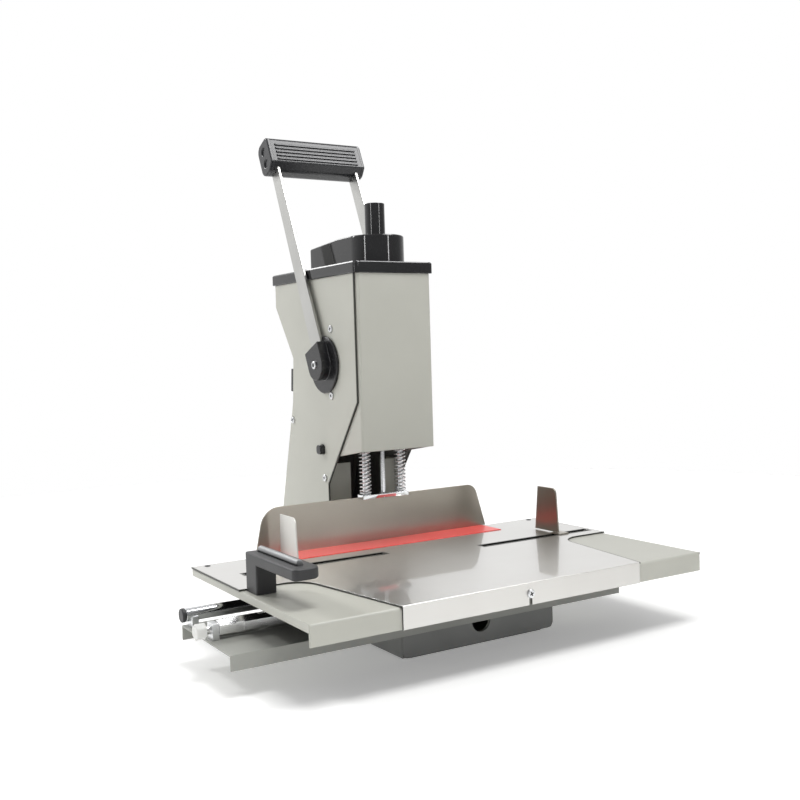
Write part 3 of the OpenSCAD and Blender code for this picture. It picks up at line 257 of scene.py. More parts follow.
# Black moulded plastic with a fine spark-eroded grain, drawn at 1.4 mm so that it shows.
grained_black, tree, shader, place = new_finish("grained_black_plastic", Roughness=0.46)
uneven_colour(tree, shader, place, "#2b2b2d", "#323234", 45)
grain(tree, shader, place, 1.4, 0.06)
dressed("rod_caps", "rod_end_caps", "frame", grained_black, "plastic_black", 1.2, 3)


def plated(name, dark, light, patch_mm, crystal_mm, low, high):
    """Plated steel: soft patches of tone, and a crystal grain that varies its sheen."""
    finish, tree, shader, place = new_finish(name, Metallic=1.0)
    uneven_colour(tree, shader, place, dark, light, patch_mm)
    crystals = add(tree, "ShaderNodeTexNoise", {"Vector": place, "Scale": 1000 / crystal_mm, "Detail": 2.0})
    sheen = add(tree, "ShaderNodeMapRange", {"Value": crystals.outputs["Fac"], "To Min": low, "To Max": high})
    tree.links.new(sheen.outputs["Result"], shader.inputs["Roughness"])
    return finish


# Bright zinc plate: a bluish white metal that catches every light.
zinc = plated("zinc_plated_steel", "#d4d5d7", "#e4e5e6", 6, 1.4, 0.26, 0.38)
dressed("carrier_brackets", "bar_brackets", "frame", zinc, "machined_steel", 0.6)


# Index bar
# A bright-drawn hexagonal steel bar with notches for the hole patterns, turned by a white nylon knob.
# Drawing leaves fine lines along the bar, drawn at 0.8 mm so that they show.
drawn_steel = tooled("bright_drawn_steel", "#ececec", (56, 0.8, 0.8), 0.14, 0.3)
dressed("index_bar", "index_hexagon", "index", drawn_steel, "bright_steel", 0.3)

# White nylon: slightly waxy, and a little of the light goes into it.
white_nylon, tree, shader, place = new_finish("moulded_white_nylon", Roughness=0.38, Subsurface_Weight=0.15,
                                              Subsurface_Radius=(1, 1, 0.9), Subsurface_Scale=0.002)
uneven_colour(tree, shader, place, "#dadad7", "#e3e3e0", 12)
grain(tree, shader, place, 1.2, 0.03)
dressed("index_knob", "index_grip", "index", white_nylon, "knob_white", 1.5, 3)


# Side panels
# Two bent-profile panels of 2 mm steel in the light grey paint. A dark strip on the cut front edge, from the
# head down to the base, is painted shade for the gap beside the cover. Inside, a grey lining is painted shade
# for the dark column.
def shade_lining_finish(name, dark, light):
    """A matt lining painted in as shade: no shine, and a fibrous relief of 1.5 mm."""
    finish, tree, shader, place = new_finish(name, Roughness=0.95, Specular_IOR_Level=0.1)
    uneven_colour(tree, shader, place, dark, light, 8)
    grain(tree, shader, place, 1.5, 0.3)
    return finish


# Painted shade: the grey lining darkens the inside of the head and column; the black one darkens slot walls,
# screw recesses, the plate's fold ends and the table's underside.
grey_shade_lining = shade_lining_finish("painted_shade_grey_lining", "#868684", "#90908e")
black_shade_lining = shade_lining_finish("painted_shade_black_lining", "#141415", "#1c1c1d")


def line_faces(piece, lining, chosen):
    """Puts a second finish on the faces that pass a test."""
    piece.data.materials.append(lining)
    for face in piece.data.polygons:
        if chosen(face.center, face.normal):
            face.material_index = len(piece.data.materials) - 1


def shell_of(node, name, chosen, thickness):
    """A strip of even thickness over the faces of a CAD solid that pass a test."""
    strip = merged_copy(node, name)
    bpy.ops.object.mode_set(mode="EDIT")
    bpy.ops.mesh.select_mode(type="FACE")
    mesh = bmesh.from_edit_mesh(strip.data)
    for face in mesh.faces:
        face.select_set(not chosen(face))
    bmesh.update_edit_mesh(strip.data)
    bpy.ops.mesh.delete(type="FACE")
    bpy.ops.object.mode_set(mode="OBJECT")
    thicken(strip, thickness)
    return strip


def thicken(piece, thickness):
    """Gives an open sheet its thickness, outwards."""
    pick(piece)
    thick = piece.modifiers.new("thick", "SOLIDIFY")
    thick.thickness = thickness
    thick.offset = 1
    thick.use_even_offset = True
    bpy.ops.object.modifier_apply(modifier=thick.name)


def on_front_edge(face):
    """Says whether a face is part of a side panel's cut front edge."""
    ahead = face.calc_center_median().y < edge_rear
    return face.normal.y < -0.5 and ahead and face.calc_area() > edge_least_area


# Black strips painted in as shade for dark gaps, edges and slots: smooth and slightly shiny.
shade_strip_black, tree, shader, place = new_finish("painted_shade_black_strip", Roughness=0.4)
uneven_colour(tree, shader, place, "#33342f", "#3d3e38", 30)
edge_rear = 0.052
edge_least_area = 1e-4
shade_strip_thickness = 0.0022
shade_lining_low = 0.06
sides = ((-1, "left"), (1, "right"))
for side, word in sides:
    panel = f"{word}_side_panel"
    # The dark strip on each panel's front edge is painted shade for the gap beside the front cover.
    strip = shell_of(panel, f"{word}_side_painted_shade_strip", on_front_edge, shade_strip_thickness)
    round_edges(strip, 0.5)
    smooth(strip)
    fit(strip, "frame", shade_strip_black, "plastic_black")
    sheet = dressed(panel, f"{word}_side_sheet", "frame", grey_paint, "paint_grey", 0.5)
    # Painted shade: the panel's inner faces take the grey lining, so the column's inside looks dark.
    line_faces(sheet, grey_shade_lining, lambda centre, normal: normal.x * side < -0.9 and centre.z > shade_lining_low)


# Head front cover
# A U of 2 mm steel, bent with a small radius and screwed between the side panels. Its lower edge falls
# towards the rear.
cover = dressed("head_front_cover", "front_cover_sheet", "frame", grey_paint, "paint_grey", 0.5)
cover_low, cover_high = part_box("head_front_cover")
# Painted shade: the cover's inner faces take the grey lining, so the head's inside looks dark.
inside_from = 0.0018
line_faces(cover, grey_shade_lining, lambda centre, normal: (abs(centre.x) < cover_high.x - inside_from
                                                     and centre.y > cover_low.y + inside_from
                                                     and abs(normal.z) < 0.9))


# Rear cover and column wall
# The rear cover is one sheet, bent to the panels' rear outline. The inner front wall of the column is
# two grey jambs with a gap between them, where the dark inside of the column shows.
rear = merged_copy("rear_cover", "rear_sheet")
round_edges(rear, 0.5, corner=75)
smooth(rear)
fit(rear, "frame", grey_paint, "paint_grey", "rear_cover")
# Painted shade: the rear sheet's inner faces take the grey lining, so the column's inside looks dark.
line_faces(rear, grey_shade_lining, lambda centre, normal: normal.y < -0.3)

dressed("column_front_panel", "column_jambs", "frame", grey_paint, "paint_grey", 0.5)


# Panel screws
# Pan-head steel screws with a cross recess, zinc plated, four on each side. Each head is pressed to a low
# dome, and the driver's recess is punched into it.
def apply_place(piece):
    """Moves a piece's place and turn into its mesh."""
    pick(piece)
    bpy.ops.object.transform_apply(location=True, rotation=True, scale=True)


def cut(piece, cutter):
    """Cuts one piece with another, which is then gone."""
    pick(piece)
    bite = piece.modifiers.new("bite", "BOOLEAN")
    bite.operation = "DIFFERENCE"
    bite.solver = "EXACT"
    bite.object = cutter
    bpy.ops.object.modifier_apply(modifier=bite.name)
    bpy.data.objects.remove(cutter)


def screw_head(name, radius, height, recess):
    """A domed screw head on its seat at z = 0, with a cross or hexagon recess."""
    bpy.ops.object.select_all(action="DESELECT")
    bpy.ops.mesh.primitive_cylinder_add(vertices=40, radius=radius, depth=height, location=(0, 0, height / 2))
    head = bpy.context.active_object
    head.name = name
    apply_place(head)
    dome_mm = height * 550
    round_edges(head, dome_mm, 4, where=lambda middle: middle.z > height * 0.9)
    bpy.ops.object.select_all(action="DESELECT")
    if recess == "cross":
        blade_length = radius * 1.05
        blade_width = radius * 0.26
        blade_depth = height * 1.1
        bpy.ops.mesh.primitive_cube_add(size=1, location=(0, 0, height))
        blade = bpy.context.active_object
        blade.scale = (blade_length, blade_width, blade_depth)
        apply_place(blade)
        bpy.ops.object.duplicate()
        second = bpy.context.active_object
        second.rotation_euler.z = math.radians(90)
        apply_place(second)
        cut(head, blade)
        cut(head, second)
    else:
        hexagon_radius = radius * 0.55
        hexagon_depth = height * 1.2
        bpy.ops.mesh.primitive_cylinder_add(vertices=6, radius=hexagon_radius, depth=hexagon_depth,
                                            location=(0, 0, height))
        hexagon = bpy.context.active_object
        apply_place(hexagon)
        cut(head, hexagon)
    round_edges(head, 0.1, 1)
    smooth(head)
    return head


def placed_copy(piece, name, turn, spot):
    """A copy of a piece with its own mesh, turned about the origin and then moved to its spot."""
    pick(piece)
    bpy.ops.object.duplicate()
    copy = bpy.context.active_object
    copy.name = name
    copy.data.name = name
    copy.matrix_world = Matrix.Translation(spot) @ turn.to_4x4()
    apply_place(copy)
    return copy


def paint_recess_shade(head, seat, outward, radius, height):
    """Paints the recess of a screw head matt black as shade."""
    def inside(centre, normal):
        rise = (centre - seat).dot(outward)
        off_axis = (centre - seat - outward * rise).length
        return rise < height * 0.9 and off_axis < radius * 0.6

    line_faces(head, black_shade_lining, inside)


# Each screw's place on its panel in Y and Z. The driver left each one at its own angle, in degrees.
screw_spots = [(0.027, 0.383), (0.030, 0.293), (0.058, 0.179), (0.1539, 0.255)]
first_angle = 20
angle_step = 33
solid_head_h = 0.002
pan_radius = 0.005
pan_height = 0.0021
panel_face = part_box("panel_screws")[1].x - solid_head_h
pan_head = screw_head("pan_head", pan_radius, pan_height, "cross")
to_side = {-1: Matrix.Rotation(math.radians(-90), 3, "Y"), 1: Matrix.Rotation(math.radians(90), 3, "Y")}
for side, word in sides:
    for number, (y, z) in enumerate(screw_spots):
        spin = Matrix.Rotation(math.radians(first_angle + angle_step * number), 3, "Z")
        seat = Vector((side * panel_face, y, z))
        head = placed_copy(pan_head, f"{word}_panel_screw_{number}", to_side[side] @ spin, seat)
        fit(head, "frame", zinc, "bright_steel", "panel_screws")
        # Each recess is painted black as shade.
        paint_recess_shade(head, seat, Vector((side, 0, 0)), pan_radius, pan_height)


# Power inlet
# A moulded black appliance inlet, set upright in the rear sheet, with three plated pins in its well.
dressed("power_inlet", "inlet_shell", "frame", grained_black, "plastic_black", 0.8)
inlet_low, inlet_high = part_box("power_inlet")
inlet_middle = (inlet_low + inlet_high) / 2
pin_w = 0.004
pin_reach = 0.014
pin_t = 0.002
pin_spacing = 0.007
pin_sunk = 0.01
pin_end = inlet_high.y - pin_sunk

# What lies this near to a plane counts as lying on it.
close = 0.0004
for number, row in enumerate((0, 1, -1)):
    bpy.ops.object.select_all(action="DESELECT")
    spot = (inlet_middle.x, pin_end - pin_reach / 2, inlet_middle.z + row * pin_spacing)
    bpy.ops.mesh.primitive_cube_add(size=1, location=spot)
    pin = bpy.context.active_object
    pin.name = f"inlet_pin_{number}"
    pin.scale = (pin_w, pin_reach, pin_t)
    apply_place(pin)
    round_edges(pin, 0.6, 3, where=lambda middle: middle.y > pin_end - close)
    smooth(pin)
    fit(pin, "frame", zinc, "bright_steel")


# Push button
# A square black button with round corners in the left panel, moulded with a rounded rim.
# Polished black ABS: deep black with clear, narrow highlights.
gloss_black, tree, shader, place = new_finish("polished_black_abs", Roughness=0.08, IOR=1.53)
uneven_colour(tree, shader, place, "#1c1c1d", "#222224", 60)
grain(tree, shader, place, 14, 0.03)
button = merged_copy("switch_button", "button_cap")
button_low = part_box("switch_button")[0]
round_edges(button, 1.6, 4, where=lambda middle: middle.x < button_low.x + close)
round_edges(button, 0.4, 1)
smooth(button)
fit(button, "button", gloss_black, "plastic_black", "switch_button")


# Top cap, belt guard and spindle cover
# Polished black ABS mouldings: a flat cap over the head, the tall guard over the belt with
# round shoulders, and the tube that hides the spindle's upper end.
def on_cap_rim(middle):
    """Says whether an edge runs round the cap's top, and not round the opening under the guard."""
    in_opening = abs(middle.x) <= opening_half and opening_front <= middle.y <= opening_rear
    return middle.z > cap_high.z - close and not in_opening


cap = merged_copy("top_cap", "head_cap")
cap_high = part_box("top_cap")[1]
opening_half = 0.045
opening_front = -0.04
opening_rear = 0.15
round_edges(cap, 1.8, 1, where=on_cap_rim)
round_edges(cap, 0.5, 1)
smooth(cap)
fit(cap, "frame", gloss_black, "cap_black", "top_cap")

guard = merged_copy("belt_guard", "guard_shell")
guard_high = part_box("belt_guard")[1]
shoulder_h = 0.0075
tube_room = 0.015
round_edges(guard, 2.6, 5, where=lambda middle: (middle.z > guard_high.z - shoulder_h
                                                 and middle.xy.length > tube_room))
round_edges(guard, 0.4, 1)
smooth(guard)
fit(guard, "frame", gloss_black, "cap_black", "belt_guard")

tube = merged_copy("spindle_cover", "spindle_tube")
round_edges(tube, 0.9, 3)
smooth(tube)
fit(tube, "frame", gloss_black, "cap_black", "spindle_cover")


# Motor and belt drive
# Inside the head: an aluminium motor, two turned aluminium pulleys and a rubber belt on a steel plate.
# Turning leaves rings round the pulleys.
turned_aluminium = tooled("turned_aluminium", "#c3c4c6", (20, 20, 0.8), 0.22, 0.42)
for node in ("motor", "motor_pulley", "spindle_pulley", "quill_housing"):
    coat(node, turned_aluminium)
coat("drive_belt", rubber)

# Turned or milled mild steel: grey, with tool marks that run one way.
milled_steel = tooled("milled_steel", "#8f9091", (17, 17, 0.9), 0.28, 0.48)
for node in ("pulley_bearing", "head_plate", "shaft_bushes", "return_spring_case", "lever_shaft",
             "drive_pinion", "feed_rack", "quill_bearings"):
    coat(node, milled_steel)


# Quill, spindle and drill
# The ground quill sleeve carries the crosshead and, inside it, the hollow spindle with the drill. The drill
# is a ground tube.
for node, name, body, finish, slot, width in (
        ("quill", "quill_sleeve", "quill", ground_chrome, "bright_steel", 0.5),
        ("crosshead", "crosshead_block", "quill", milled_steel, "machined_steel", 0.8),
        ("spindle", "spindle_shaft", "spindle", ground_chrome, "bright_steel", 0.4),
        ("hollow_drill", "drill_tube", "spindle", ground_chrome, "bright_steel", 0.15)):
    dressed(node, name, body, finish, slot, width)


# Presser
# A polished steel foot on two chromed rods, with a chamfer under its front edge. It reaches the paper
# first and holds the stack while the drill goes through.
polished_steel = tooled("polished_steel", "#dedfe0", (11, 11, 11), 0.06, 0.16)
shoe = merged_copy("presser_foot", "presser_shoe")
shoe_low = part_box("presser_foot")[0]
chamfer_half = 0.014
for cut_x in (-chamfer_half, chamfer_half):
    pick(shoe)
    bpy.ops.object.mode_set(mode="EDIT")
    bpy.ops.mesh.select_all(action="SELECT")
    bpy.ops.mesh.bisect(plane_co=(cut_x, 0, 0), plane_no=(1, 0, 0))
    bpy.ops.object.mode_set(mode="OBJECT")
round_edges(shoe, 4.5, 1, where=lambda middle: (abs(middle.x) < chamfer_half - close
                                                and middle.z < shoe_low.z + close
                                                and middle.y < shoe_low.y + close))
round_edges(shoe, 0.4, corner=60)
smooth(shoe)
fit(shoe, "presser", polished_steel, "bright_steel", "presser_foot")

dressed("presser_rods", "presser_guides", "presser", ground_chrome, "bright_steel", 0.5)

# Presser springs: bright nickel-plated wire, wound with one closed turn at each end.
spring_wire = plated("nickel_plated_wire", "#f4f4f4", "#fbfbfb", 10, 1.4, 0.34, 0.44)
coil_turns = 17
coil_radius = 0.0072
wire_radius = 0.0009
wire_sides = 12
turn_steps = 36
spring_low, spring_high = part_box("presser_springs")
rod_spacing = (spring_high.x - spring_low.x) / 2 - coil_radius - wire_radius
closed_pitch = 2.15 * wire_radius
open_turns = coil_turns - 2
open_pitch = (spring_high.z - spring_low.z - 2 * closed_pitch - 2 * wire_radius) / open_turns
coil_parts = []
height = spring_low.z + wire_radius
for turns, pitch in ((1, closed_pitch), (open_turns, open_pitch), (1, closed_pitch)):
    bpy.ops.object.select_all(action="DESELECT")
    bpy.ops.mesh.primitive_circle_add(vertices=wire_sides, radius=wire_radius,
                                      location=(coil_radius, 0, height), rotation=(math.radians(90), 0, 0))
    wire = bpy.context.active_object
    apply_place(wire)
    wind = wire.modifiers.new("wind", "SCREW")
    wind.axis = "Z"
    wind.angle = math.radians(360)
    wind.screw_offset = pitch
    wind.iterations = turns
    wind.steps = turn_steps
    wind.render_steps = turn_steps
    bpy.ops.object.modifier_apply(modifier=wind.name)
    coil_parts.append(wire)
    height += turns * pitch
bpy.ops.object.select_all(action="DESELECT")
for wire in coil_parts:
    wire.select_set(True)
bpy.context.view_layer.objects.active = coil_parts[0]
bpy.ops.object.join()
coil = bpy.context.active_object
coil.name = "presser_coils"
bpy.ops.object.mode_set(mode="EDIT")
bpy.ops.mesh.select_all(action="SELECT")
bpy.ops.mesh.remove_doubles(threshold=2e-5)
bpy.ops.mesh.select_all(action="DESELECT")
bpy.ops.mesh.select_mode(type="EDGE")
bpy.ops.mesh.select_non_manifold()
bpy.ops.mesh.edge_face_add()
bpy.ops.mesh.select_all(action="SELECT")
bpy.ops.mesh.normals_make_consistent(inside=False)
bpy.ops.mesh.duplicate()
bpy.ops.transform.translate(value=(2 * rod_spacing, 0, 0))
bpy.ops.mesh.select_all(action="SELECT")
bpy.ops.transform.translate(value=(-rod_spacing, 0, 0))
bpy.ops.object.mode_set(mode="OBJECT")
smooth(coil, 60)
fit(coil, "quill", spring_wire, "bright_steel", "presser_springs")
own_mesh(coil)


# Lever
# Two flat steel arms with a satin nickel plate, clamped in black cast hubs on the feed shaft. A socket-head
# screw holds each hub.
satin_nickel = plated("satin_nickel_plate", "#bcbcb9", "#c4c4c1", 40, 1.4, 0.3, 0.36)
dressed("lever_arms", "lever_bars", "lever", satin_nickel, "steel_sheet", 0.6, 3)

# Semi-gloss black paint on cast hubs: a little uneven, as casting skin is.
hub_black, tree, shader, place = new_finish("semi_gloss_black_casting", Roughness=0.26)
uneven_colour(tree, shader, place, "#1c1c1e", "#242426", 20)
grain(tree, shader, place, 3.5, 0.04)
hubs = merged_copy("lever_hubs", "hub_castings")
boss_from = 0.0605
round_edges(hubs, 1.2, 3, where=lambda middle: abs(middle.x) > boss_from)
round_edges(hubs, 0.4, 1)
smooth(hubs)
fit(hubs, "lever", hub_black, "plastic_black", "lever_hubs")

hub_screw_low, hub_screw_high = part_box("hub_screws")
hub_pivot = (hub_screw_low + hub_screw_high) / 2
socket_radius = 0.0055
socket_height = 0.0025
hub_screw_seat = hub_screw_high.x - socket_height
socket_head = screw_head("socket_head", socket_radius, socket_height, "hexagon")
for side, word in sides:
    seat = Vector((side * hub_screw_seat, hub_pivot.y, hub_pivot.z))
    head = placed_copy(socket_head, f"{word}_hub_screw", to_side[side], seat)
    fit(head, "lever", zinc, "bright_steel", "hub_screws")
    # Each recess is painted black as shade.
    paint_recess_shade(head, seat, Vector((side, 0, 0)), socket_radius, socket_height)
bpy.data.objects.remove(socket_head)


# Grip
# A moulded dark grey grip between the arms, with five ridges along its front, and end caps with two round
# recesses.
grip_grey, tree, shader, place = new_finish("moulded_dark_grey_plastic", Roughness=0.24)
uneven_colour(tree, shader, place, "#212225", "#27282b", 40)
grain(tree, shader, place, 6, 0.004)
lever_lean = math.radians(24)
grip_front = Vector((0, -math.cos(lever_lean), math.sin(lever_lean)))
panel_reach = 0.018
panel_slack = 0.0006


def before_panel(middle):
    """How far an edge lies in front of the flat panel that the ridges stand on."""
    return (middle - hub_pivot).dot(grip_front) - panel_reach


# The ridges and the grip's body are rounded apart, and the feet of the ridges stay sharp.
grip = merged_copy("grip", "lever_grip")
round_edges(grip, 0.8, 3, where=lambda middle: before_panel(middle) > panel_slack)
round_edges(grip, 0.5, where=lambda middle: before_panel(middle) < -panel_slack)
smooth(grip)
fit(grip, "lever", grip_grey, "plastic_black", "grip")
caps = merged_copy("grip_end_caps", "grip_caps")
cap_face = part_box("grip_end_caps")[1].x
round_edges(caps, 1.6, 3, where=lambda middle: abs(middle.x) > cap_face - close)
round_edges(caps, 0.3, 1)
smooth(caps)
fit(caps, "lever", grip_grey, "plastic_black", "grip_end_caps")


# Table plate
# A folded table of 2 mm steel in the light grey paint, painted black as shade on its underside and inside its
# front fold. It runs on the guide rod and carries the stainless top. The walls of its slots are painted black
# as shade too.
table_low, table_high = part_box("table_plate")
inside_reach = 0.003
slot_reach = 0.0025
slots_front = -0.2
slots_rear = -0.05
table_rim = 0.005


def on_front_fold(middle):
    """Says whether an edge runs along the fold at the table's front."""
    return middle.y < table_low.y + close and middle.z > table_high.z - close


def on_outer_fold(middle):
    """Says whether an edge runs along the side folds or the upright corners."""
    outside = abs(middle.x) > table_high.x - close
    return outside and (middle.z > table_high.z - close or middle.y < table_low.y + close)


def under_table(centre, normal):
    """Says whether a face is on the underside of the table or the inside of its front fold."""
    below_top = normal.z < -0.9 and centre.z > table_high.z - inside_reach
    behind_fold = normal.y > 0.9 and centre.y < table_low.y + inside_reach
    return below_top or behind_fold


def in_table_slot(centre, normal):
    """Says whether a face is a wall of one of the table's slots."""
    upright = abs(normal.z) < 0.5 and centre.z > table_high.z - slot_reach
    return upright and slots_front < centre.y < slots_rear and abs(centre.x) < table_high.x - table_rim


sheet = merged_copy("table_plate", "table_sheet")
round_edges(sheet, 3.0, 5, where=on_front_fold)
round_edges(sheet, 1.6, 4, where=on_outer_fold)
round_edges(sheet, 0.4)
smooth(sheet)
fit(sheet, "table", grey_paint, "paint_grey", "table_plate")
# Painted shade: the underside and the inside of the front fold are black.
line_faces(sheet, black_shade_lining, under_table)
# Painted shade: the slot walls are black.
line_faces(sheet, black_shade_lining, in_table_slot)


# Steel top
# A plate of 2 mm brushed stainless steel on the table, folded down over the front edge. A black bead on its
# cut edge is painted shade for the shadow line there. Brushing leaves long fine scratches, drawn at 0.8 mm,
# coarser than real, so that they show.
scratch_mm = (110, 0.8, 0.8)
scratch_depth_mm = 0.02
cloud_mm = 70


def brushed(name, tones, low, high, depth, **more):
    """Stainless steel brushed along X, with scratches of a given share of the full depth."""
    finish, tree, shader, place = new_finish(name, Metallic=1.0, **more)
    lines = add(tree, "ShaderNodeMapping", {"Vector": place, "Scale": [1000 / size for size in scratch_mm]})
    scratch = add(tree, "ShaderNodeTexNoise",
                  {"Vector": lines.outputs["Vector"], "Scale": 1.0, "Detail": 4.0})
    spread = add(tree, "ShaderNodeMapRange", {"Value": scratch.outputs["Fac"], "From Min": 0.3,
                                              "From Max": 0.7, "To Min": low, "To Max": high})
    tree.links.new(spread.outputs["Result"], shader.inputs["Roughness"])
    relief = add(tree, "ShaderNodeBump", {"Height": scratch.outputs["Fac"], "Strength": depth,
                                          "Distance": scratch_depth_mm / 1000})
    tree.links.new(relief.outputs["Normal"], shader.inputs["Normal"])
    cloud = add(tree, "ShaderNodeTexNoise", {"Vector": place, "Scale": 1000 / cloud_mm, "Detail": 3.0})
    tone = add(tree, "ShaderNodeMix", {"Factor": cloud.outputs["Fac"]}, data_type="RGBA")
    tone.inputs["A"].default_value = linear(tones[0])
    tone.inputs["B"].default_value = linear(tones[1])
    tree.links.new(tone.outputs["Result"], shader.inputs["Base Color"])
    return finish


# The rolled skin under the scratches still mirrors at a low angle, which a thin clear coat gives.
stainless = brushed("brushed_stainless_steel", ("#cfcdc9", "#d6d5d2"), 0.34, 0.4, 0.05, Coat_Weight=0.9,
                    Coat_Roughness=0.05)
plate_low, plate_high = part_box("steel_top")
plate_t = 0.002
curve_rear = -0.139
shoulder_from = 0.2
fold_reach = 0.003


def plate_edge(face):
    """Says whether a face lies on the plate's outer cut edge, behind the front fold."""
    centre = face.calc_center_median()
    normal = face.normal
    upright = abs(normal.z) < 0.5 and centre.z > plate_high.z - plate_t - close
    on_side = abs(centre.x) > plate_high.x - close
    on_curve = abs(normal.y) < 0.995 and centre.y < curve_rear
    on_shoulder = normal.y < -0.9 and abs(centre.x) > shoulder_from
    return upright and centre.y > plate_low.y + fold_reach and (on_side or on_curve or on_shoulder)


def plate_in_shade(centre, normal):
    """Says whether a face is a long wall of a slot or a cut end of the front fold."""
    in_slots = centre.z > plate_high.z - plate_t and slots_front < centre.y < slots_rear
    fold_end = abs(normal.x) > 0.9 and centre.y < plate_low.y + fold_reach
    return abs(normal.y) > 0.9 and in_slots or fold_end


edge_shade_thickness = 0.0012
# The black bead is painted shade for the shadow line along the plate's cut edge.
edge_shade_piece = shell_of("steel_top", "plate_edge_painted_shade", plate_edge, edge_shade_thickness)
round_edges(edge_shade_piece, 0.3)
smooth(edge_shade_piece)
fit(edge_shade_piece, "table", shade_strip_black, "plastic_black")
plate = merged_copy("steel_top", "stainless_top")
round_edges(plate, 0.9, 3, where=lambda middle: (middle.y < plate_low.y + close
                                                 and middle.z > plate_high.z - close))
round_edges(plate, 0.2)
smooth(plate)
fit(plate, "table", stainless, "steel_sheet", "steel_top")
# Painted shade: the slot walls and the fold's cut ends are black.
line_faces(plate, black_shade_lining, plate_in_shade)

# A flat black edging runs round each slot that a stop slides in, painted shade that widens the slot's dark
# line. A slot is given by its two ends in X and its middle in Y.
stop_slots = (("left", -0.235, -0.042, -0.070), ("right", 0.082, 0.262, -0.113))
slot_w = 0.01
slot_shade_ring_w = 0.003
slot_shade_ring_sunk = 0.0001
slot_shade_ring_rise = 0.0002
for word, start, end, middle_y in stop_slots:
    bpy.ops.object.select_all(action="DESELECT")
    spot = ((start + end) / 2, middle_y, plate_high.z - slot_shade_ring_sunk)
    bpy.ops.mesh.primitive_plane_add(size=1, location=spot)
    slot_shade_ring = bpy.context.active_object
    slot_shade_ring.name = f"{word}_slot_painted_shade"
    slot_shade_ring.scale = (end - start + 2 * slot_shade_ring_w, slot_w + 2 * slot_shade_ring_w, 1)
    apply_place(slot_shade_ring)
    bpy.ops.object.mode_set(mode="EDIT")
    bpy.ops.mesh.select_all(action="SELECT")
    bpy.ops.mesh.inset(thickness=slot_shade_ring_w)
    bpy.ops.mesh.delete(type="FACE")
    bpy.ops.object.mode_set(mode="OBJECT")
    thicken(slot_shade_ring, slot_shade_ring_sunk + slot_shade_ring_rise)
    round_edges(slot_shade_ring, 0.08, 1)
    smooth(slot_shade_ring)
    fit(slot_shade_ring, "table", shade_strip_black, "plastic_black")

# Two flat screws of blackened steel hold the plate at its rear corners. The dark oxide has an uneven sheen.
blackened_steel = plated("blackened_steel", "#46474a", "#5a5b5e", 9, 6, 0.3, 0.5)
flat_radius = 0.0036
flat_height = 0.0006
flat_angle = 30
plate_screw_x = 0.253
plate_screw_y = 0.004
flat_head = screw_head("flat_head", flat_radius, flat_height, "cross")
for side, word in sides:
    spin = Matrix.Rotation(math.radians(flat_angle * side), 3, "Z")
    spot = (side * plate_screw_x, plate_screw_y, plate_high.z)
    head = placed_copy(flat_head, f"{word}_plate_screw", spin, spot)
    fit(head, "table", blackened_steel, "bright_steel")
bpy.data.objects.remove(flat_head)


# Cutting strip
# A strip of red PVC let into the plate under the drill, which the drill may cut into. It comes smooth from
# the extruder.
red_pvc, tree, shader, place = new_finish("extruded_red_pvc", Roughness=0.3, Subsurface_Weight=0.1,
                                          Subsurface_Scale=0.001)
uneven_colour(tree, shader, place, "#fb5a55", "#ff645f", 50)
grain(tree, shader, place, 6, 0.03)
dressed("cutting_strip", "cutting_bar", "table", red_pvc, "strip_red", 0.4)


# Flange screw
# One pan-head screw holds the stainless plate's front flange to the table.
flange_low, flange_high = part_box("flange_screw")
flange_middle = (flange_low + flange_high) / 2
flange_angle = 25
seat = Vector((flange_middle.x, flange_low.y + solid_head_h, flange_middle.z))
spin = Matrix.Rotation(math.radians(flange_angle), 3, "Z")
to_front = Matrix.Rotation(math.radians(90), 3, "X")
head = placed_copy(pan_head, "flange_screw_head", to_front @ spin, seat)
fit(head, "table", zinc, "bright_steel", "flange_screw")
# The recess is painted black as shade.
paint_recess_shade(head, seat, Vector((0, -1, 0)), pan_radius, pan_height)
bpy.data.objects.remove(pan_head)


# Bearing blocks and glides
# Aluminium blocks with bored guides under the table run on the rod, and white nylon glides carry the
# table's front.
dressed("bearing_blocks", "rod_blocks", "table", turned_aluminium, "aluminium", 0.6)
dressed("front_glides", "glide_pads", "table", white_nylon, "knob_white", 0.8)


# Table handle
# A black moulded handle at the table's left, with the bright release bar lying in a groove along its arm.
def on_handle_side(middle):
    """Says whether an edge is on the sides of the leg and the arm above the foot, or round the nose."""
    above_foot = middle.z > handle_low.z + foot_h
    at_side = middle.x < handle_low.x + close or middle.x > handle_low.x + leg_w - close
    return above_foot and at_side or middle.y < handle_low.y + nose_reach


handle = merged_copy("table_handle", "handle_moulding")
handle_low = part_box("table_handle")[0]
foot_h = 0.001
leg_w = 0.024
nose_reach = 0.014
round_edges(handle, 2.0, 4, where=on_handle_side)
round_edges(handle, 0.5, 1)
smooth(handle)
fit(handle, "table", grained_black, "plastic_black", "table_handle")
dressed("release_bar", "release_rod", "release", milled_steel, "bright_steel", 1.6, 4)
dressed("index_pawl", "pawl_pin", "pawl", drawn_steel, "bright_steel", 0.4)


# Fence and side stops
# Upright stainless sheets that the paper is knocked against: the fence behind the drill and two stops
# clamped in slots of the table.
fence_steel = brushed("brushed_fence_steel", ("#aca69c", "#b1aba1"), 0.275, 0.285, 0.001)
stop_steel = brushed("matt_stop_steel", ("#dfdeda", "#e5e4e0"), 0.48, 0.52, 0.01)
dressed("fence", "fence_sheet", "fence", fence_steel, "steel_sheet", 0.4)
dressed("left_stop", "left_stop_sheet", "left_stop", stop_steel, "steel_sheet", 0.3)
dressed("right_stop", "right_stop_sheet", "right_stop", fence_steel, "steel_sheet", 0.3)
dressed("fence_pins", "fence_studs", "table", drawn_steel, "bright_steel", 0.4)


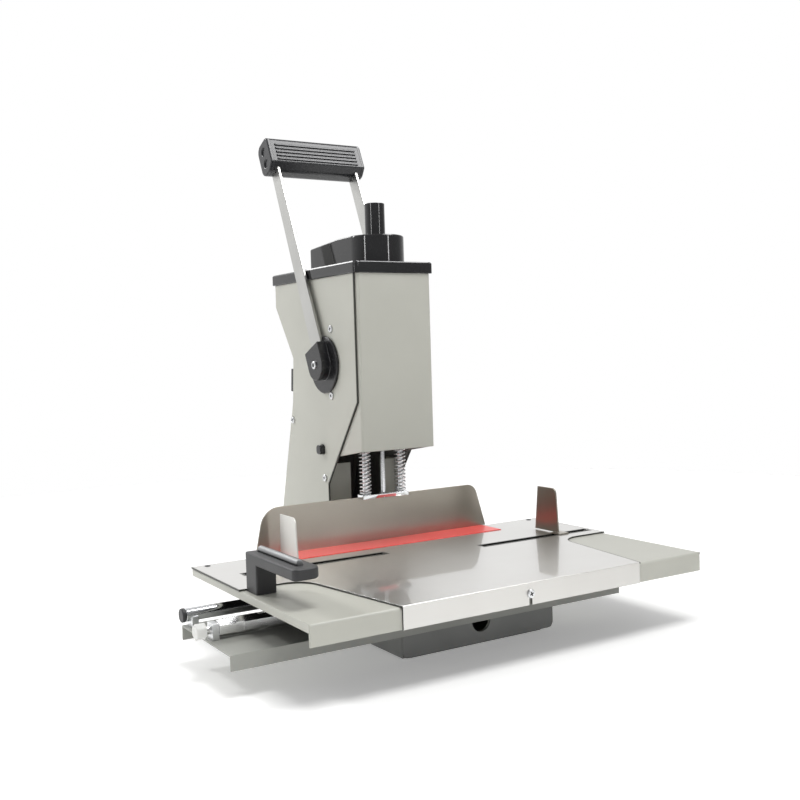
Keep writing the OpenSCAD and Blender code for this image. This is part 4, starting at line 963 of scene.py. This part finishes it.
# Studio
# A pale floor disc, soft area lights and a sky that is bright behind the machine and dimmer in front, so
# that the steel has something to reflect.
floor_radius = 1.6
floor_drop = 0.0002
bpy.ops.object.select_all(action="DESELECT")
bpy.ops.mesh.primitive_circle_add(vertices=96, radius=floor_radius, fill_type="NGON",
                                  location=(0, 0, -floor_drop))
floor = bpy.context.active_object
floor.name = "floor"
floor_finish, tree, shader, place = new_finish("pale_studio_floor", Roughness=0.9, Specular_IOR_Level=0.1,
                                               Emission_Color=(1, 1, 1, 1), Emission_Strength=0.25)
uneven_colour(tree, shader, place, "#f4f4f3", "#f8f8f7", 400)
floor.data.materials.append(floor_finish)

world = bpy.data.worlds.new("studio")
bpy.context.scene.world = world
world.use_nodes = True
tree = world.node_tree
way = add(tree, "ShaderNodeTexCoord").outputs["Generated"]
parts = add(tree, "ShaderNodeSeparateXYZ", {"Vector": way})
behind = add(tree, "ShaderNodeMapRange", {"Value": parts.outputs["Y"], "From Min": -0.2, "From Max": 0.85,
                                          "To Min": 0.36, "To Max": 1.0})
seen = add(tree, "ShaderNodeLightPath").outputs["Is Camera Ray"]
sky = add(tree, "ShaderNodeMix", {"Factor": seen, "A": behind.outputs["Result"], "B": 1.0},
          data_type="FLOAT")
backdrop = tree.nodes["Background"]
tree.links.new(sky.outputs["Result"], backdrop.inputs["Strength"])
backdrop.inputs["Color"].default_value = (1, 1, 1, 1)


def soft_light(name, spot, aim, size, watts, diffuse=True, glossy=True):
    """A rectangular studio light at a spot, turned to what it lights or is mirrored in."""
    lamp = bpy.data.lights.new(name, "AREA")
    lamp.shape = "RECTANGLE"
    lamp.size, lamp.size_y = size
    lamp.energy = watts
    light = bpy.data.objects.new(name, lamp)
    bpy.context.scene.collection.objects.link(light)
    light.location = spot
    light.rotation_euler = (Vector(aim) - Vector(spot)).to_track_quat("-Z", "Y").to_euler()
    light.visible_camera = False
    light.visible_diffuse = diffuse
    light.visible_glossy = glossy
    return light


soft_light("key", (-1.2, 1.6, 1.7), (0, 0, 0.3), (0.35, 0.35), 19)
soft_light("top", (-0.05, -0.85, 2.2), (0, 0, 0.2), (1.0, 0.8), 30, glossy=False)
soft_light("fill", (-0.7, -2.2, 1.2), (0, 0, 0.25), (1.5, 1.0), 1, glossy=False)
soft_light("top_strip", (0.97, -0.72, 2.3), (0, 0, 0.6), (0.6, 1.2), 24, diffuse=False)
cap_light = soft_light("cap_light", (1.02, 0.2, 2.3), (0, 0, 0.47), (1.1, 0.5), 17, diffuse=False)
soft_light("back_light", (-0.18, 2.2, 1.77), (0, 0, 0.47), (0.5, 0.4), 4.5, diffuse=False)
soft_light("left_strip", (-1.90, -0.54, 1.0), (0, 0, 0.45), (0.1, 0.8), 4, diffuse=False)
soft_light("right_strip", (0.77, -1.87, 1.0), (0, 0, 0.45), (0.1, 0.8), 4, diffuse=False)

# The light for the cap is kept off the grip, whose top edge stays dark.
shaded = bpy.data.collections.new("not_lit_by_cap_light")
shaded.objects.link(grip)
cap_light.light_linking.receiver_collection = shaded
shaded.collection_objects[0].light_linking.link_state = "EXCLUDE"


# Camera
# A normal lens at the operator's left, a little above the table. Its turn to the right, its dip and its
# sideways lean are in degrees from straight ahead.
camera_spot = (-0.689, -1.177, 0.350)
camera_turn = 31.46
camera_dip = 2.761
camera_lean = -1.753
lens = bpy.data.cameras.new("camera")
lens.lens = 45.29
lens.sensor_width = 36
lens.clip_start = 0.05
camera = bpy.data.objects.new("camera", lens)
bpy.context.scene.collection.objects.link(camera)
turn = Matrix.Rotation(math.radians(-camera_turn), 4, "Z")
dip = Matrix.Rotation(math.radians(90 - camera_dip), 4, "X")
lean = Matrix.Rotation(math.radians(camera_lean), 4, "Z")
camera.matrix_world = Matrix.Translation(camera_spot) @ turn @ dip @ lean
bpy.context.scene.camera = camera
bpy.context.scene.view_settings.view_transform = "Standard"
